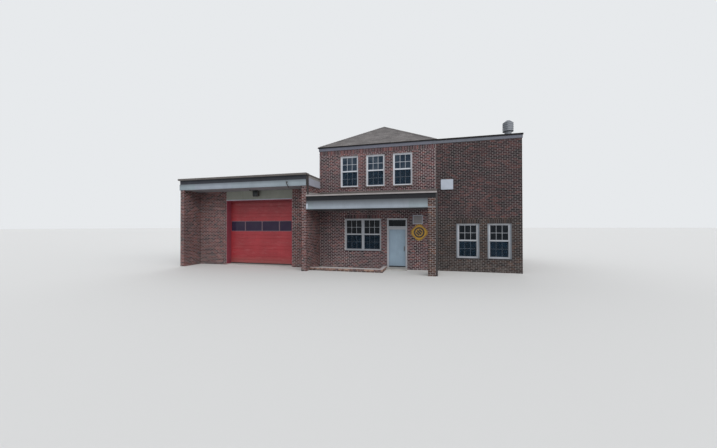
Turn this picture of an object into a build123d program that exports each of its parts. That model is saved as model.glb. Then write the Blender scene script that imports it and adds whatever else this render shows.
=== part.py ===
from build123d import *
import math
import os

# A small two-storey brick fire station with a one-bay engine garage on its left,
# a lean-to porch over the entrance, a hip roof on the middle part and a flat roof on the right part.
# Millimetres. While it is built up, X runs from the garage's left face, Y from the front of the porch
# and Z from the ground. The finished part is moved so that its origin is the middle of its base.

# Main block plan
garage_width = 8000
house_width = 6500
annexe_width = 4100
garage_depth = 12000
house_depth = 9000
porch_depth = 1850
garage_recess = 1290
wall = 260

# Floors and garage height
upper_floor_level = 3250
upper_floor_thickness = 250
ground_floor_level = 105
garage_wall_height = 4780
garage_floor_level = 50

# Hip roof, flat roof and roof edges
hip_roof_rise = 2050
eave_overhang = 60
eave_edge = 50
annexe_upstand = 170
annexe_roof_thickness = 200
roof_beam_depth = 570
coping_thickness = 50
coping_overhang = 50
main_fascia_height = 180
fascia_board = 30
corner_gap = 1

# Garage roof edge and doorway
garage_roof_thickness = 220
garage_fascia_drop = 330
garage_fascia_height = 326
garage_fascia_thickness = 40
upper_fascia_thickness = 20
garage_drip_height = 100
garage_drip_overhang = 150
garage_side_drip_overhang = 60
garage_return_step = 50
garage_return_height = 380
soffit_thickness = 40
bay_opening_left = 2130
bay_opening_width = 4405
header_panel_bottom = 3900
header_panel_thickness = 100
jamb_lining = 30
jamb_depth = 400

# Sectional door of the engine bay
door_sections = 6
door_head_overlap = 90
door_side_overlap = 130
ribs_per_section = 3
section_thickness = 45
section_joint = 2
rib_groove_depth = 12
rib_groove_width = 30
rib_groove_slope = 12
glazed_section = 4
bay_panes = 4
pane_rail = 40
pane_stile = 25
bay_glass_thickness = 8

# Porch
porch_fascia_bottom = 3210
porch_fascia_height = 440
porch_fascia_thickness = 40
porch_upper_height = 230
porch_drip_height = 65
porch_drip_overhang = 70
porch_roof_rise = 310
porch_roof_thickness = 140
porch_end_overhang = 60
porch_soffit_thickness = 40
pier_width = 350
pier_depth = 400
flashing_height = 80
flashing_thickness = 12

# Entrance door, frame and step
entrance_left = 3945
entrance_width = 1074
entrance_height = 2637
entrance_frame_face = 75
entrance_frame_setback = 20
entrance_frame_depth = 140
leaf_height = 2044
leaf_thickness = 45
leaf_bottom_gap = 8
leaf_top_gap = 6
hinge_gap = 5
latch_gap = 7
stop_gap = 5
stop_cover = 14
transom_bar = 88
transom_glass_thickness = 8
hinge_radius = 8
hinge_length = 100
hinge_count = 3
hinge_clearance = 0.3
handle_height = 1000
handle_length = 300
handle_radius = 11
handle_post_radius = 9
handle_reach = 55
handle_edge = 75
step_height = 85
step_depth = 450
step_side = 15

# Planter in the porch
planter_front = 400
planter_thickness = 200
planter_height = 150
planter_door_gap = 20

# Windows
upper_window_width = 1020
upper_window_height = 1747
porch_to_window_sill = 203
wall_over_upper_window = 540
upper_window_spacing = 1495
upper_window_centre = 3290
porch_window_left = 1536
porch_window_width = 2060
porch_window_height = 1764
porch_window_sill = 981
annexe_window_width = 1095
annexe_window_height = 1750
annexe_window_sill = 700
annexe_window_lefts = (1040, 2520)
casing_face = 50
casing_setback = 30
window_frame_face = 45
window_frame_depth = 100
window_setback = 60
sash_face = 40
sash_thickness = 36
glass_thickness = 6
sill_height = 70
sill_overhang = 35
side_window_distance = 2600

# Fittings on the walls
lamp_width = 340
lamp_height = 370
lamp_depth = 180
lamp_back = 240
lamp_offset = -80
vent_pipe_radius = 165
vent_skirt_radius = 190
vent_skirt_height = 80
vent_head_radius = 258
vent_louvre_depth = 16
vent_louvres = 4
vent_cap_height = 130
vent_cap_radius = 105
vent_height = 1115
vent_head_height = 560
vent_edge_distance = 456
vent_front_distance = 750
wall_panel_left = 276
wall_panel_bottom = 4226
wall_panel_width = 595
wall_panel_height = 516
wall_panel_depth = 60
notice_offset = 325
notice_bottom = 2450
notice_width = 500
notice_height = 460
notice_depth = 30
yellow_sign_centre = 5655
yellow_sign_level = 1995
yellow_sign_width = 880
yellow_sign_corner = 220
yellow_sign_thickness = 22
downspout_width = 90
downspout_depth = 70
downspout_setback = 60
garage_downspout_width = 60

# Positions worked out from the sizes above
house_left = garage_width
joint_x = house_left + house_width
right_x = joint_x + annexe_width
front_y = porch_depth
back_y = front_y + house_depth
inner_left = house_left + wall
inner_right = right_x - wall
inner_front = front_y + wall
inner_back = back_y - wall
bay_left = bay_opening_left
bay_right = bay_left + bay_opening_width
bay_front = garage_recess
bay_inner = bay_front + wall
garage_inner_right = garage_width - wall
garage_inner_back = garage_depth - wall
door_left = house_left + entrance_left
door_right = door_left + entrance_width
door_head = ground_floor_level + entrance_height
garage_roof_top = garage_wall_height + garage_roof_thickness
garage_fascia_bottom = garage_wall_height - garage_fascia_drop
garage_return_bottom = garage_fascia_bottom + garage_return_step
porch_fascia_top = porch_fascia_bottom + porch_fascia_height
porch_band_top = porch_fascia_top + porch_upper_height
porch_wall_level = porch_band_top + porch_roof_rise
upper_window_sill = porch_wall_level + flashing_height + porch_to_window_sill + sill_height
main_wall_height = upper_window_sill + upper_window_height + wall_over_upper_window
ridge_height = main_wall_height + hip_roof_rise
annexe_roof_level = main_wall_height - annexe_upstand
pier_left = joint_x - pier_width


def block(x0, x1, y0, y1, z0, z1):
    """A plain slab or post between two corners."""
    return Pos(x0, y0, z0) * Box(x1 - x0, y1 - y0, z1 - z0, align=(Align.MIN, Align.MIN, Align.MIN))


def profile_along_x(points, x0, x1):
    """A closed outline of (Y, Z) points carried along X."""
    outline = make_face(Polyline([(0, y, z) for y, z in points], close=True))
    return Pos(x0, 0, 0) * extrude(outline, amount=x1 - x0, dir=(1, 0, 0))


# The outside faces of the main block that have windows: local X runs along the wall, local Y into it.
front_face = Location((0, front_y, 0))
right_face = Location((right_x, 0, 0), (0, 0, 90))
back_face = Location((0, back_y, 0), (0, 0, 180))


def on_face(face, centre, sill, shape):
    """Put a window piece on an outside face, centred at a distance along it, at its sill height."""
    return face * Pos(centre, 0, sill) * shape


def hole(width, height):
    """The hole through a wall for one window."""
    return Pos(0, wall / 2, height / 2) * Box(width, 3 * wall, height)


def ring(width, height, face, y0, depth, z0=0):
    """A rectangular frame standing on z0, its front at y0."""
    outer = Box(width, depth, height, align=(Align.CENTER, Align.MIN, Align.MIN))
    inner = Box(width - 2 * face, 3 * depth, height - 2 * face, align=(Align.CENTER, Align.CENTER, Align.MIN))
    return Pos(0, y0, z0) * (outer - Pos(0, depth / 2, face) * inner)


def sash_sizes(width, height):
    """Width of a sash, its height, and how far the two sashes overlap at the meeting rail."""
    sash_width = width - 2 * window_frame_face
    clear_height = height - 2 * window_frame_face
    return sash_width, (clear_height + sash_face) / 2, clear_height


def window_frame(width, height, setback=window_setback):
    """A double-hung window: the frame, the outer top sash and the inner bottom sash in one piece."""
    sash_width, sash_height, clear_height = sash_sizes(width, height)
    middle = setback + window_frame_depth / 2
    frame = ring(width, height, window_frame_face, setback, window_frame_depth)
    top_z = window_frame_face + clear_height - sash_height
    top = ring(sash_width, sash_height, sash_face, middle - sash_thickness, sash_thickness, top_z)
    bottom = ring(sash_width, sash_height, sash_face, middle, sash_thickness, window_frame_face)
    return frame + top + bottom


def window_panes(width, height, setback=window_setback):
    """The two panes of a double-hung window, each edge to edge with its sash."""
    sash_width, sash_height, clear_height = sash_sizes(width, height)
    middle = setback + window_frame_depth / 2
    pane = Box(sash_width - 2 * sash_face, glass_thickness, sash_height - 2 * sash_face,
               align=(Align.CENTER, Align.CENTER, Align.MIN))
    top_z = window_frame_face + clear_height - sash_height + sash_face
    top = Pos(0, middle - sash_thickness / 2, top_z) * pane
    bottom = Pos(0, middle + sash_thickness / 2, window_frame_face + sash_face) * pane
    return [top, bottom]


def hip_block(x0, x1, y0, y1, z0, edge, z_ridge):
    """A hip roof block: a low upright edge, then four slopes that meet in a ridge along Y."""
    half = (x1 - x0) / 2
    low = [(x0, y0, z0), (x1, y0, z0), (x1, y1, z0), (x0, y1, z0)]
    eave = [(x, y, z0 + edge) for x, y, z in low]
    ridge = [(x0 + half, y0 + half, z_ridge), (x0 + half, y1 - half, z_ridge)]
    slopes = [
        [eave[0], eave[1], ridge[0]],
        [eave[1], eave[2], ridge[1], ridge[0]],
        [eave[2], eave[3], ridge[1]],
        [eave[3], eave[0], ridge[0], ridge[1]],
    ]
    uprights = [[low[i], low[(i + 1) % 4], eave[(i + 1) % 4], eave[i]] for i in range(4)] if edge else []
    faces = [Face(Wire.make_polygon(points)) for points in [low] + uprights + slopes]
    return Solid(Shell(faces))


def make_garage():
    """Walls, floor, roof, roof edge and doorway of the engine bay."""
    parts = {}
    left_wall = block(0, wall, 0, garage_inner_back, 0, garage_wall_height)
    right_wall = block(garage_inner_right, garage_width, 0, garage_inner_back, 0, garage_wall_height)
    parts["garage_side_walls"] = [left_wall, right_wall]
    parts["garage_back_wall"] = block(0, garage_width, garage_inner_back, garage_depth, 0, garage_wall_height)
    front_left = block(wall, bay_left, bay_front, bay_inner, 0, garage_wall_height)
    front_right = block(bay_right, garage_inner_right, bay_front, bay_inner, 0, garage_wall_height)
    parts["garage_front_wall"] = [front_left, front_right]
    parts["garage_lintel"] = block(bay_left, bay_right, bay_front, bay_inner, garage_fascia_bottom, garage_wall_height)
    panel_back = bay_front + header_panel_thickness
    parts["garage_header_panel"] = block(
        bay_left, bay_right, bay_front, panel_back, header_panel_bottom, garage_fascia_bottom)
    floor = block(wall, garage_inner_right, bay_inner, garage_inner_back, 0, garage_floor_level)
    parts["garage_floor"] = floor + block(bay_left, bay_right, bay_front, bay_inner, 0, garage_floor_level)
    parts["garage_roof"] = block(0, garage_width, 0, garage_depth, garage_wall_height, garage_roof_top)
    bay_soffit = block(
        wall, garage_inner_right, 0, bay_front, garage_fascia_bottom, garage_fascia_bottom + soffit_thickness)
    porch_soffit = block(
        house_left, joint_x - porch_fascia_thickness, pier_depth + corner_gap, front_y,
        porch_fascia_bottom, porch_fascia_bottom + porch_soffit_thickness)
    parts["soffits"] = [bay_soffit, porch_soffit]
    parts.update(make_garage_edge())
    parts.update(make_bay_door())
    return parts


def make_garage_edge():
    """The light fascia, the dark band over it and the pale metal drip edge."""
    parts = {}
    fascia_top = garage_fascia_bottom + garage_fascia_height
    front = block(-garage_fascia_thickness, garage_width, -garage_fascia_thickness, 0, garage_fascia_bottom, fascia_top)
    right = block(garage_width, garage_width + fascia_board, 0, front_y - fascia_board,
                  garage_return_bottom, garage_return_bottom + garage_return_height)
    left = block(-garage_fascia_thickness, 0, corner_gap, garage_depth, garage_fascia_bottom, fascia_top)
    parts["garage_fascia"] = [front, left, right]
    band_front = block(-upper_fascia_thickness, garage_width, -upper_fascia_thickness, 0, fascia_top, garage_roof_top)
    band_left = block(-upper_fascia_thickness, 0, corner_gap, garage_depth, fascia_top, garage_roof_top)
    porch_band = block(house_left, joint_x, 0, porch_fascia_thickness, porch_fascia_top, porch_band_top)
    parts["upper_fascia_bands"] = [band_front, band_left, porch_band]
    drip_top = garage_roof_top + garage_drip_height
    side = garage_side_drip_overhang
    front_strip = block(-side, garage_width + side, -garage_drip_overhang, wall, garage_roof_top, drip_top)
    left_strip = block(-side, wall, wall + corner_gap, garage_depth, garage_roof_top, drip_top)
    right_strip = block(garage_width - wall, garage_width, wall + corner_gap, garage_depth, garage_roof_top, drip_top)
    back_strip = block(wall + corner_gap, garage_width - wall - corner_gap,
                       garage_inner_back, garage_depth, garage_roof_top, drip_top)
    parts["garage_drip_edge"] = [front_strip, left_strip, right_strip, back_strip]
    return parts


def door_section(bottom, top, left, right, y):
    """One section of the bay door: its ribbed outer skin is one outline carried across the door."""
    pitch = (top - bottom) / ribs_per_section
    points = [(y + section_thickness, bottom), (y + section_thickness, top), (y, top)]
    for rib in range(ribs_per_section - 1, 0, -1):
        groove = bottom + rib * pitch
        half = rib_groove_width / 2
        points.append((y, groove + half + rib_groove_slope))
        points.append((y + rib_groove_depth, groove + half))
        points.append((y + rib_groove_depth, groove - half))
        points.append((y, groove - half - rib_groove_slope))
    points.append((y, bottom))
    return profile_along_x(points, left, right)


def make_bay_door():
    """Steel jamb lining, the ribbed sections that end behind the header, a row of panes and the lamp over the door."""
    parts = {}
    jamb_back = bay_front + jamb_depth
    head_bottom = header_panel_bottom - jamb_lining
    left_jamb = block(bay_left, bay_left + jamb_lining, bay_front, jamb_back, garage_floor_level, header_panel_bottom)
    right_jamb = block(bay_right - jamb_lining, bay_right, bay_front, jamb_back, garage_floor_level, header_panel_bottom)
    head = block(bay_left + jamb_lining + corner_gap, bay_right - jamb_lining - corner_gap,
                 bay_front, jamb_back, head_bottom, header_panel_bottom)
    parts["garage_door_frame"] = [left_jamb, right_jamb, head]
    section_height = (header_panel_bottom + door_head_overlap - garage_floor_level) / door_sections
    door_start, door_end = bay_left - door_side_overlap, bay_right + door_side_overlap
    pitch = (door_end - door_start) / bay_panes
    sections = []
    panes = []
    for index in range(door_sections):
        bottom = garage_floor_level + index * section_height
        top = bottom + section_height - section_joint
        if index + 1 < glazed_section or index + 1 > glazed_section:
            sections.append(door_section(bottom, top, door_start, door_end, jamb_back))
            continue
        glazed = block(door_start, door_end, jamb_back, jamb_back + section_thickness, bottom, top)
        for pane in range(bay_panes):
            x0 = door_start + pane * pitch + pane_stile
            x1 = x0 + pitch - 2 * pane_stile
            z0, z1 = bottom + pane_rail, top - pane_rail
            glazed -= block(x0, x1, jamb_back - wall, jamb_back + wall, z0, z1)
            glass_y = jamb_back + (section_thickness - bay_glass_thickness) / 2
            panes.append(block(x0, x1, glass_y, glass_y + bay_glass_thickness, z0, z1))
        sections.append(glazed)
    parts["garage_door"] = sections
    parts["garage_door_glass"] = panes
    lamp_x = (bay_left + bay_right) / 2 + lamp_offset
    lamp_z = garage_fascia_bottom - lamp_height / 2
    body = loft([
        Pos(lamp_x, bay_front, lamp_z) * Rot(90, 0, 0) * Rectangle(lamp_back, lamp_back),
        Pos(lamp_x, bay_front - lamp_depth, lamp_z) * Rot(90, 0, 0) * Rectangle(lamp_width, lamp_height),
    ])
    parts["bay_lamp"] = body
    return parts


def make_main_walls():
    """Walls of the middle and right parts, with their window and door holes."""
    parts = {}
    top = main_wall_height
    storey = upper_floor_level
    window_left = house_left + porch_window_left
    porch_hole = on_face(front_face, window_left + porch_window_width / 2, porch_window_sill,
                         hole(porch_window_width, porch_window_height))
    lower = block(house_left, door_left, front_y, inner_front, 0, storey)
    beside_door = block(door_right, joint_x, front_y, inner_front, 0, storey)
    parts["house_front_wall_lower"] = [lower - porch_hole, beside_door]
    upper = block(house_left, joint_x, front_y, inner_front, storey, top)
    upper += block(door_left, door_right, front_y, inner_front, door_head, storey)
    for centre in upper_centres():
        upper -= on_face(front_face, centre, upper_window_sill, hole(upper_window_width, upper_window_height))
    parts["house_front_wall_upper"] = upper
    annexe = block(joint_x, right_x, front_y, inner_front, 0, top)
    for centre in annexe_centres():
        annexe -= on_face(front_face, centre, annexe_window_sill, hole(annexe_window_width, annexe_window_height))
    parts["annexe_front_wall"] = annexe
    right = block(inner_right, right_x, inner_front, inner_back, 0, top)
    back = block(house_left, right_x, inner_back, back_y, 0, top)
    cut_walls = {right_face: right, back_face: back}
    for face, centre, sill in hidden_windows():
        cut_walls[face] -= on_face(face, centre, sill, hole(upper_window_width, upper_window_height))
    parts["house_left_wall"] = block(house_left, inner_left, inner_front, inner_back, 0, top)
    parts["annexe_right_wall"] = cut_walls[right_face]
    parts["back_wall"] = cut_walls[back_face]
    return parts


def upper_centres():
    """X of the three upper windows on the front."""
    middle = house_left + upper_window_centre
    return [middle + step * upper_window_spacing for step in (-1, 0, 1)]


def annexe_centres():
    """X of the two lower windows on the front of the right part."""
    return [joint_x + left + annexe_window_width / 2 for left in annexe_window_lefts]


def hidden_windows():
    """Face, distance along it and sill of each window on the sides and back, plain repeats of the front."""
    rows = []
    near = front_y + side_window_distance
    far = back_y - side_window_distance
    lower_sill = porch_window_sill
    for y in (near, far):
        rows.append((right_face, y, upper_window_sill))
        rows.append((right_face, y, lower_sill))
    for x in upper_centres():
        rows.append((back_face, -x, upper_window_sill))
        rows.append((back_face, -x, lower_sill))
    middle = joint_x + annexe_width / 2
    rows.append((back_face, -middle, upper_window_sill))
    rows.append((back_face, -middle, lower_sill))
    return rows


def make_floors_and_roofs():
    """Floor slabs, the roof beam, the hip roof, the flat roof and their edges."""
    parts = {}
    floor = block(inner_left, inner_right, inner_front, inner_back, 0, ground_floor_level)
    parts["ground_floor"] = floor + block(door_left, door_right, front_y, inner_front, 0, ground_floor_level)
    parts["upper_floor"] = block(inner_left, inner_right, inner_front, inner_back,
                                 upper_floor_level - upper_floor_thickness, upper_floor_level)
    parts["roof_beam"] = block(joint_x - wall, joint_x, inner_front, inner_back,
                               main_wall_height - roof_beam_depth, main_wall_height)
    eave_x0, eave_x1 = house_left - eave_overhang, joint_x + eave_overhang
    eave_y0, eave_y1 = front_y - eave_overhang, back_y + eave_overhang
    outer = hip_block(eave_x0, eave_x1, eave_y0, eave_y1, main_wall_height, eave_edge, ridge_height)
    slope = (ridge_height - main_wall_height - eave_edge) / ((eave_x1 - eave_x0) / 2)
    attic_x0, attic_x1 = inner_left, joint_x - wall
    attic_ridge = main_wall_height + slope * (attic_x1 - attic_x0) / 2
    attic = hip_block(attic_x0, attic_x1, inner_front, inner_back, main_wall_height, 0, attic_ridge)
    parts["hip_roof"] = outer - attic
    parts["annexe_roof"] = block(joint_x, inner_right, inner_front, inner_back,
                                 annexe_roof_level - annexe_roof_thickness, annexe_roof_level)
    parts["annexe_coping"] = make_coping()
    parts["main_fascia"] = make_main_fascia()
    parts["roof_vent"] = make_vent()
    return parts


def make_coping():
    """Metal coping on the walls round the flat roof: front, right and back runs."""
    z0, z1 = main_wall_height, main_wall_height + coping_thickness
    start = joint_x + eave_overhang + corner_gap
    out = coping_overhang
    front = block(start, right_x + out, front_y - out, inner_front, z0, z1)
    back = block(start, right_x + out, inner_back, back_y + out, z0, z1)
    right = block(inner_right, right_x + out, inner_front + corner_gap, inner_back - corner_gap, z0, z1)
    return [front, back, right]


def make_main_fascia():
    """Painted board under the roof edge on all four sides of the main block."""
    z0, z1 = main_wall_height - main_fascia_height, main_wall_height
    x0, x1 = house_left - fascia_board, right_x + fascia_board
    front = block(x0, x1, front_y - fascia_board, front_y, z0, z1)
    back = block(x0, x1, back_y, back_y + fascia_board, z0, z1)
    left = block(x0, house_left, front_y + corner_gap, back_y - corner_gap, z0, z1)
    right = block(right_x, x1, front_y + corner_gap, back_y - corner_gap, z0, z1)
    return [front, back, left, right]


def make_vent():
    """Round galvanised roof ventilator: pipe, skirt, louvred drum and conical cap, turned as one outline."""
    drum_bottom = vent_height - vent_head_height
    drum_top = vent_height - vent_cap_height
    outline = [(0, 0), (vent_skirt_radius, 0), (vent_pipe_radius, vent_skirt_height), (vent_pipe_radius, drum_bottom)]
    louvre_pitch = (drum_top - drum_bottom) / vent_louvres
    for index in range(vent_louvres):
        bottom = drum_bottom + index * louvre_pitch
        outline.append((vent_head_radius, bottom))
        outline.append((vent_head_radius, bottom + louvre_pitch / 3))
        outline.append((vent_head_radius - vent_louvre_depth, bottom + louvre_pitch))
    outline += [(vent_head_radius, drum_top), (vent_cap_radius, vent_height), (0, vent_height)]
    section = make_face(Polyline([(r, 0, z) for r, z in outline], close=True))
    x = right_x - vent_edge_distance
    y = front_y + vent_front_distance
    return Pos(x, y, annexe_roof_level) * revolve(section, axis=Axis.Z)


def make_windows():
    """Frames, panes, casings and sills of all windows."""
    parts = {}
    size = (upper_window_width, upper_window_height)
    front_frames, front_panes, sills = [], [], []
    for centre in upper_centres():
        front_frames.append(on_face(front_face, centre, upper_window_sill, window_frame(*size)))
        front_panes += [on_face(front_face, centre, upper_window_sill, pane) for pane in window_panes(*size)]
        sills.append(block(centre - size[0] / 2, centre + size[0] / 2, front_y - sill_overhang, front_y,
                           upper_window_sill - sill_height, upper_window_sill))
    parts["upper_window_sills"] = sills
    half = porch_window_width / 2
    pair = []
    for side in (-1, 1):
        centre = house_left + porch_window_left + half + side * half / 2
        pair.append(on_face(front_face, centre, porch_window_sill, window_frame(half, porch_window_height)))
        front_panes += [on_face(front_face, centre, porch_window_sill, pane)
                        for pane in window_panes(half, porch_window_height)]
    front_frames.append(pair[0] + pair[1])
    inner_width = annexe_window_width - 2 * casing_face
    casing_back = front_y + window_setback + window_frame_depth
    casings = []
    for centre in annexe_centres():
        for side in (-1, 1):
            middle = centre + side * (inner_width + casing_face) / 2
            casings.append(block(middle - casing_face / 2, middle + casing_face / 2, front_y + casing_setback, casing_back,
                                 annexe_window_sill, annexe_window_sill + annexe_window_height))
        frame = window_frame(inner_width, annexe_window_height)
        front_frames.append(on_face(front_face, centre, annexe_window_sill, frame))
        front_panes += [on_face(front_face, centre, annexe_window_sill, pane)
                        for pane in window_panes(inner_width, annexe_window_height)]
    parts["annexe_window_casings"] = casings
    parts["front_window_frames"] = front_frames
    parts["front_window_glass"] = front_panes
    hidden_frames, hidden_panes = [], []
    for face, centre, sill in hidden_windows():
        hidden_frames.append(on_face(face, centre, sill, window_frame(*size)))
        hidden_panes += [on_face(face, centre, sill, pane) for pane in window_panes(*size)]
    parts["side_and_back_window_frames"] = hidden_frames
    parts["side_and_back_window_glass"] = hidden_panes
    return parts


def make_porch():
    """Lean-to roof, fascia, band, drip edge, soffit, brick pier, flashing and planter."""
    parts = {}
    pier = block(pier_left, joint_x, 0, pier_depth, 0, porch_fascia_top)
    pier_head = block(pier_left, joint_x, porch_fascia_thickness + corner_gap, pier_depth,
                      porch_fascia_top, porch_band_top)
    parts["porch_pier"] = pier + pier_head
    front = block(house_left, pier_left, 0, porch_fascia_thickness, porch_fascia_bottom, porch_fascia_top)
    side = block(joint_x - porch_fascia_thickness, joint_x, pier_depth, front_y, porch_fascia_bottom, porch_fascia_top)
    parts["porch_fascia"] = [front, side]
    roof_x1 = joint_x + porch_end_overhang
    outline = [
        (0, porch_band_top), (front_y, porch_wall_level - porch_roof_thickness), (front_y, porch_wall_level),
        (-porch_drip_overhang / 2, porch_band_top + porch_drip_height),
        (-porch_drip_overhang / 2, porch_band_top),
    ]
    parts["porch_roof"] = profile_along_x(outline, house_left, roof_x1)
    lip = block(house_left, roof_x1, -porch_drip_overhang, -porch_drip_overhang / 2,
                porch_band_top, porch_band_top + porch_drip_height)
    parts["porch_drip_edge"] = lip
    parts["porch_flashing"] = block(house_left, roof_x1, front_y - flashing_thickness, front_y,
                                    porch_wall_level, porch_wall_level + flashing_height)
    planter_end = door_left - planter_door_gap
    long_side = block(house_left, planter_end, planter_front, planter_front + planter_thickness, 0, planter_height)
    short_side = block(planter_end - planter_thickness, planter_end, planter_front, front_y, 0, planter_height)
    parts["planter_wall"] = long_side + short_side
    pipe_front = downspout_setback
    porch_pipe = block(joint_x, joint_x + downspout_width, pipe_front, pipe_front + downspout_depth,
                       0, porch_band_top)
    start = porch_band_top + porch_drip_height
    garage_pipe = block(
        garage_width + fascia_board, garage_width + fascia_board + garage_downspout_width,
        downspout_setback, downspout_setback + downspout_depth, start + downspout_depth, garage_roof_top)
    parts["downspouts"] = [porch_pipe, garage_pipe]
    return parts


def make_entrance():
    """Door frame with its transom, the leaf with hinges and handle, and the concrete step."""
    parts = {}
    y0 = front_y + entrance_frame_setback
    y1 = y0 + entrance_frame_depth
    face = entrance_frame_face
    z0 = ground_floor_level
    leaf_bottom = z0 + leaf_bottom_gap
    leaf_top = leaf_bottom + leaf_height
    bar_bottom = leaf_top + leaf_top_gap
    bar_top = bar_bottom + transom_bar
    clear_left, clear_right = door_left + face, door_right - face
    frame = block(door_left, door_right, y0, y1, z0, door_head)
    frame -= block(clear_left, clear_right, y0 - wall, y1 + wall, z0 - wall, bar_bottom)
    frame -= block(clear_left, clear_right, y0 - wall, y1 + wall, bar_top, door_head - face)
    leaf_front = y1 - leaf_thickness
    stop_back = leaf_front - stop_gap
    stop = block(clear_left, clear_right, y0, stop_back, z0, bar_bottom)
    stop -= block(clear_left + stop_cover, clear_right - stop_cover, y0 - wall, y1, z0 - wall, bar_bottom - stop_cover)
    parts["entrance_frame"] = frame + stop
    glass_y = (y0 + y1 - transom_glass_thickness) / 2
    parts["transom_glass"] = block(clear_left, clear_right, glass_y, glass_y + transom_glass_thickness,
                                   bar_top, door_head - face)
    leaf_left = clear_left + hinge_gap
    leaf_right = clear_right - latch_gap
    parts["entrance_door"] = block(leaf_left, leaf_right, leaf_front, y1, leaf_bottom, leaf_top)
    pin_x = clear_left + hinge_gap / 2
    pin_y = y1 + hinge_radius + hinge_clearance
    barrels = []
    for index in range(hinge_count):
        share = (2 * index + 1) / (2 * hinge_count)
        middle = leaf_bottom + share * leaf_height
        barrels.append(Pos(pin_x, pin_y, middle) * Cylinder(hinge_radius, hinge_length))
    handle = make_handle(leaf_right - handle_edge, leaf_front, leaf_bottom + handle_height)
    parts["door_hardware"] = barrels + [handle]
    parts["entrance_step"] = block(door_left - step_side, door_right + step_side, front_y - step_depth, front_y,
                                   0, step_height)
    return parts


def make_handle(x, leaf_front, middle):
    """An upright pull on the outside of the leaf: a bar and the two posts that carry it."""
    bar_y = leaf_front - handle_reach
    bar = Pos(x, bar_y, middle) * Cylinder(handle_radius, handle_length)
    pull = bar
    for side in (-1, 1):
        z = middle + side * (handle_length / 2 - 2 * handle_radius)
        post = Cylinder(handle_post_radius, handle_reach, align=(Align.CENTER, Align.CENTER, Align.MIN))
        pull += Pos(x, leaf_front, z) * Rot(90, 0, 0) * post
    return pull


def make_fittings():
    """Plates and signs on the front walls."""
    parts = {}
    left = joint_x + wall_panel_left
    upper_panel = block(left, left + wall_panel_width, front_y - wall_panel_depth, front_y,
                        wall_panel_bottom, wall_panel_bottom + wall_panel_height)
    left = house_left + yellow_sign_centre - notice_offset
    notice = block(left, left + notice_width, front_y - notice_depth, front_y,
                   notice_bottom, notice_bottom + notice_height)
    parts["wall_panels"] = [upper_panel, notice]
    side = yellow_sign_width / math.sqrt(2) + yellow_sign_corner * (2 - math.sqrt(2))
    plate = Rot(90, 0, 0) * Rot(0, 0, 45) * RectangleRounded(side, side, yellow_sign_corner)
    place = Pos(house_left + yellow_sign_centre, front_y, yellow_sign_level)
    parts["yellow_sign"] = place * extrude(plate, amount=yellow_sign_thickness, dir=(0, -1, 0))
    return parts


def solids_of(shape):
    """The solids of one shape, or of a list of shapes."""
    if isinstance(shape, list):
        return [solid for member in shape for solid in solids_of(member)]
    return list(shape.solids())


def main():
    parts = {}
    for make in (make_garage, make_main_walls, make_floors_and_roofs, make_windows, make_porch,
                 make_entrance, make_fittings):
        parts.update(make())
    box = Compound(children=[solid for shape in parts.values() for solid in solids_of(shape)]).bounding_box()
    origin = Vector((box.min.X + box.max.X) / 2, (box.min.Y + box.max.Y) / 2, box.min.Z)
    os.makedirs("parts", exist_ok=True)
    for name, shape in parts.items():
        export_step(Pos(-origin) * Compound(children=solids_of(shape)), f"parts/{name}.step")
    print("origin", origin, "size", box.size)


main()
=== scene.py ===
import math

import bpy
import numpy as np
from bpy.props import FloatProperty, FloatVectorProperty, IntProperty, PointerProperty
from mathutils import Euler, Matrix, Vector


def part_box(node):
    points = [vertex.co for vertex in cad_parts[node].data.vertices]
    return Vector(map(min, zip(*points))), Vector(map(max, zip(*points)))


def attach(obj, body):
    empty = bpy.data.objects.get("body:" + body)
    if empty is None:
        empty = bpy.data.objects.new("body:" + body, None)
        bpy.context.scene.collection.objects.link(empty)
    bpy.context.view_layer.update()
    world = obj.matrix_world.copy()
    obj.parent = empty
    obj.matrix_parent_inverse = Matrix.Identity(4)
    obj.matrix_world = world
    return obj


bl_info = {
    "name": "Brick fire station",
    "version": (1, 0, 0),
    "blender": (4, 5, 0),
    "location": "3D View > Sidebar > Station",
    "description": "Lays the bricks, shingles and fittings of a small brick fire station",
    "category": "Object",
}

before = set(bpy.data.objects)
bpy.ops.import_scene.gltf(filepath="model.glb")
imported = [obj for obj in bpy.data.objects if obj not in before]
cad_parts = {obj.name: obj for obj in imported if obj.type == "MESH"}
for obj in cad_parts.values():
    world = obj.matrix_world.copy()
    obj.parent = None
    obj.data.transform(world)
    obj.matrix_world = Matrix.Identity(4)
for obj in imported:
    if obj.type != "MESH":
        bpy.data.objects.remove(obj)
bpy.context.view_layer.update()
BODY = "building"
DOOR_BODY = "entrance_door"

# Directions: the street lies towards OUT, and FRONT is the right-hand set of a plate that faces it
UP = (0, 0, 1)
OUT = (0, -1, 0)
FRONT = ((1, 0, 0), UP, OUT)

# Heights and places that no imported node gives, in metres: the top of the browner bricks and of the white
# apron, how far over the porch roof's foot the front's bricks end, how far below the top of the bay's board
# its painted shade begins, the thickness of the hip roof's edge, and the lamps under the two soffits
INFILL_TOP = 2.72
APRON_TOP = 4.10
ROOF_BAND = 0.17
SHADE_DROP = 0.104
ROOF_EDGE = 0.05
PORCH_LAMP = (1.90, -5.55)
SOFFIT_LAMP = (-5.19, -5.125)

# How deep bricks reach into the mortar, how unevenly they stand, and the narrowest cut that is laid
BRICK_BED = 0.004
BRICK_WOBBLE = 0.0012
LEAST_CUT = 0.012

# The spread of the bricks' tones, the share of burnt bricks, and how much darker those are
TONE_SPREAD = (1.6, 1.7)
BURNT_SHARE = 0.08
BURNT_STEP = -0.5

# How far the sills' bricks stand out, how much more the planter's rowlocks do than its other bricks, and how
# far below the top of the soffits the recess bricks end
SILL_PROUD = 0.012
ROWLOCK_STEP = 0.006
SOFFIT_OVERLAP = 0.04

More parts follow.
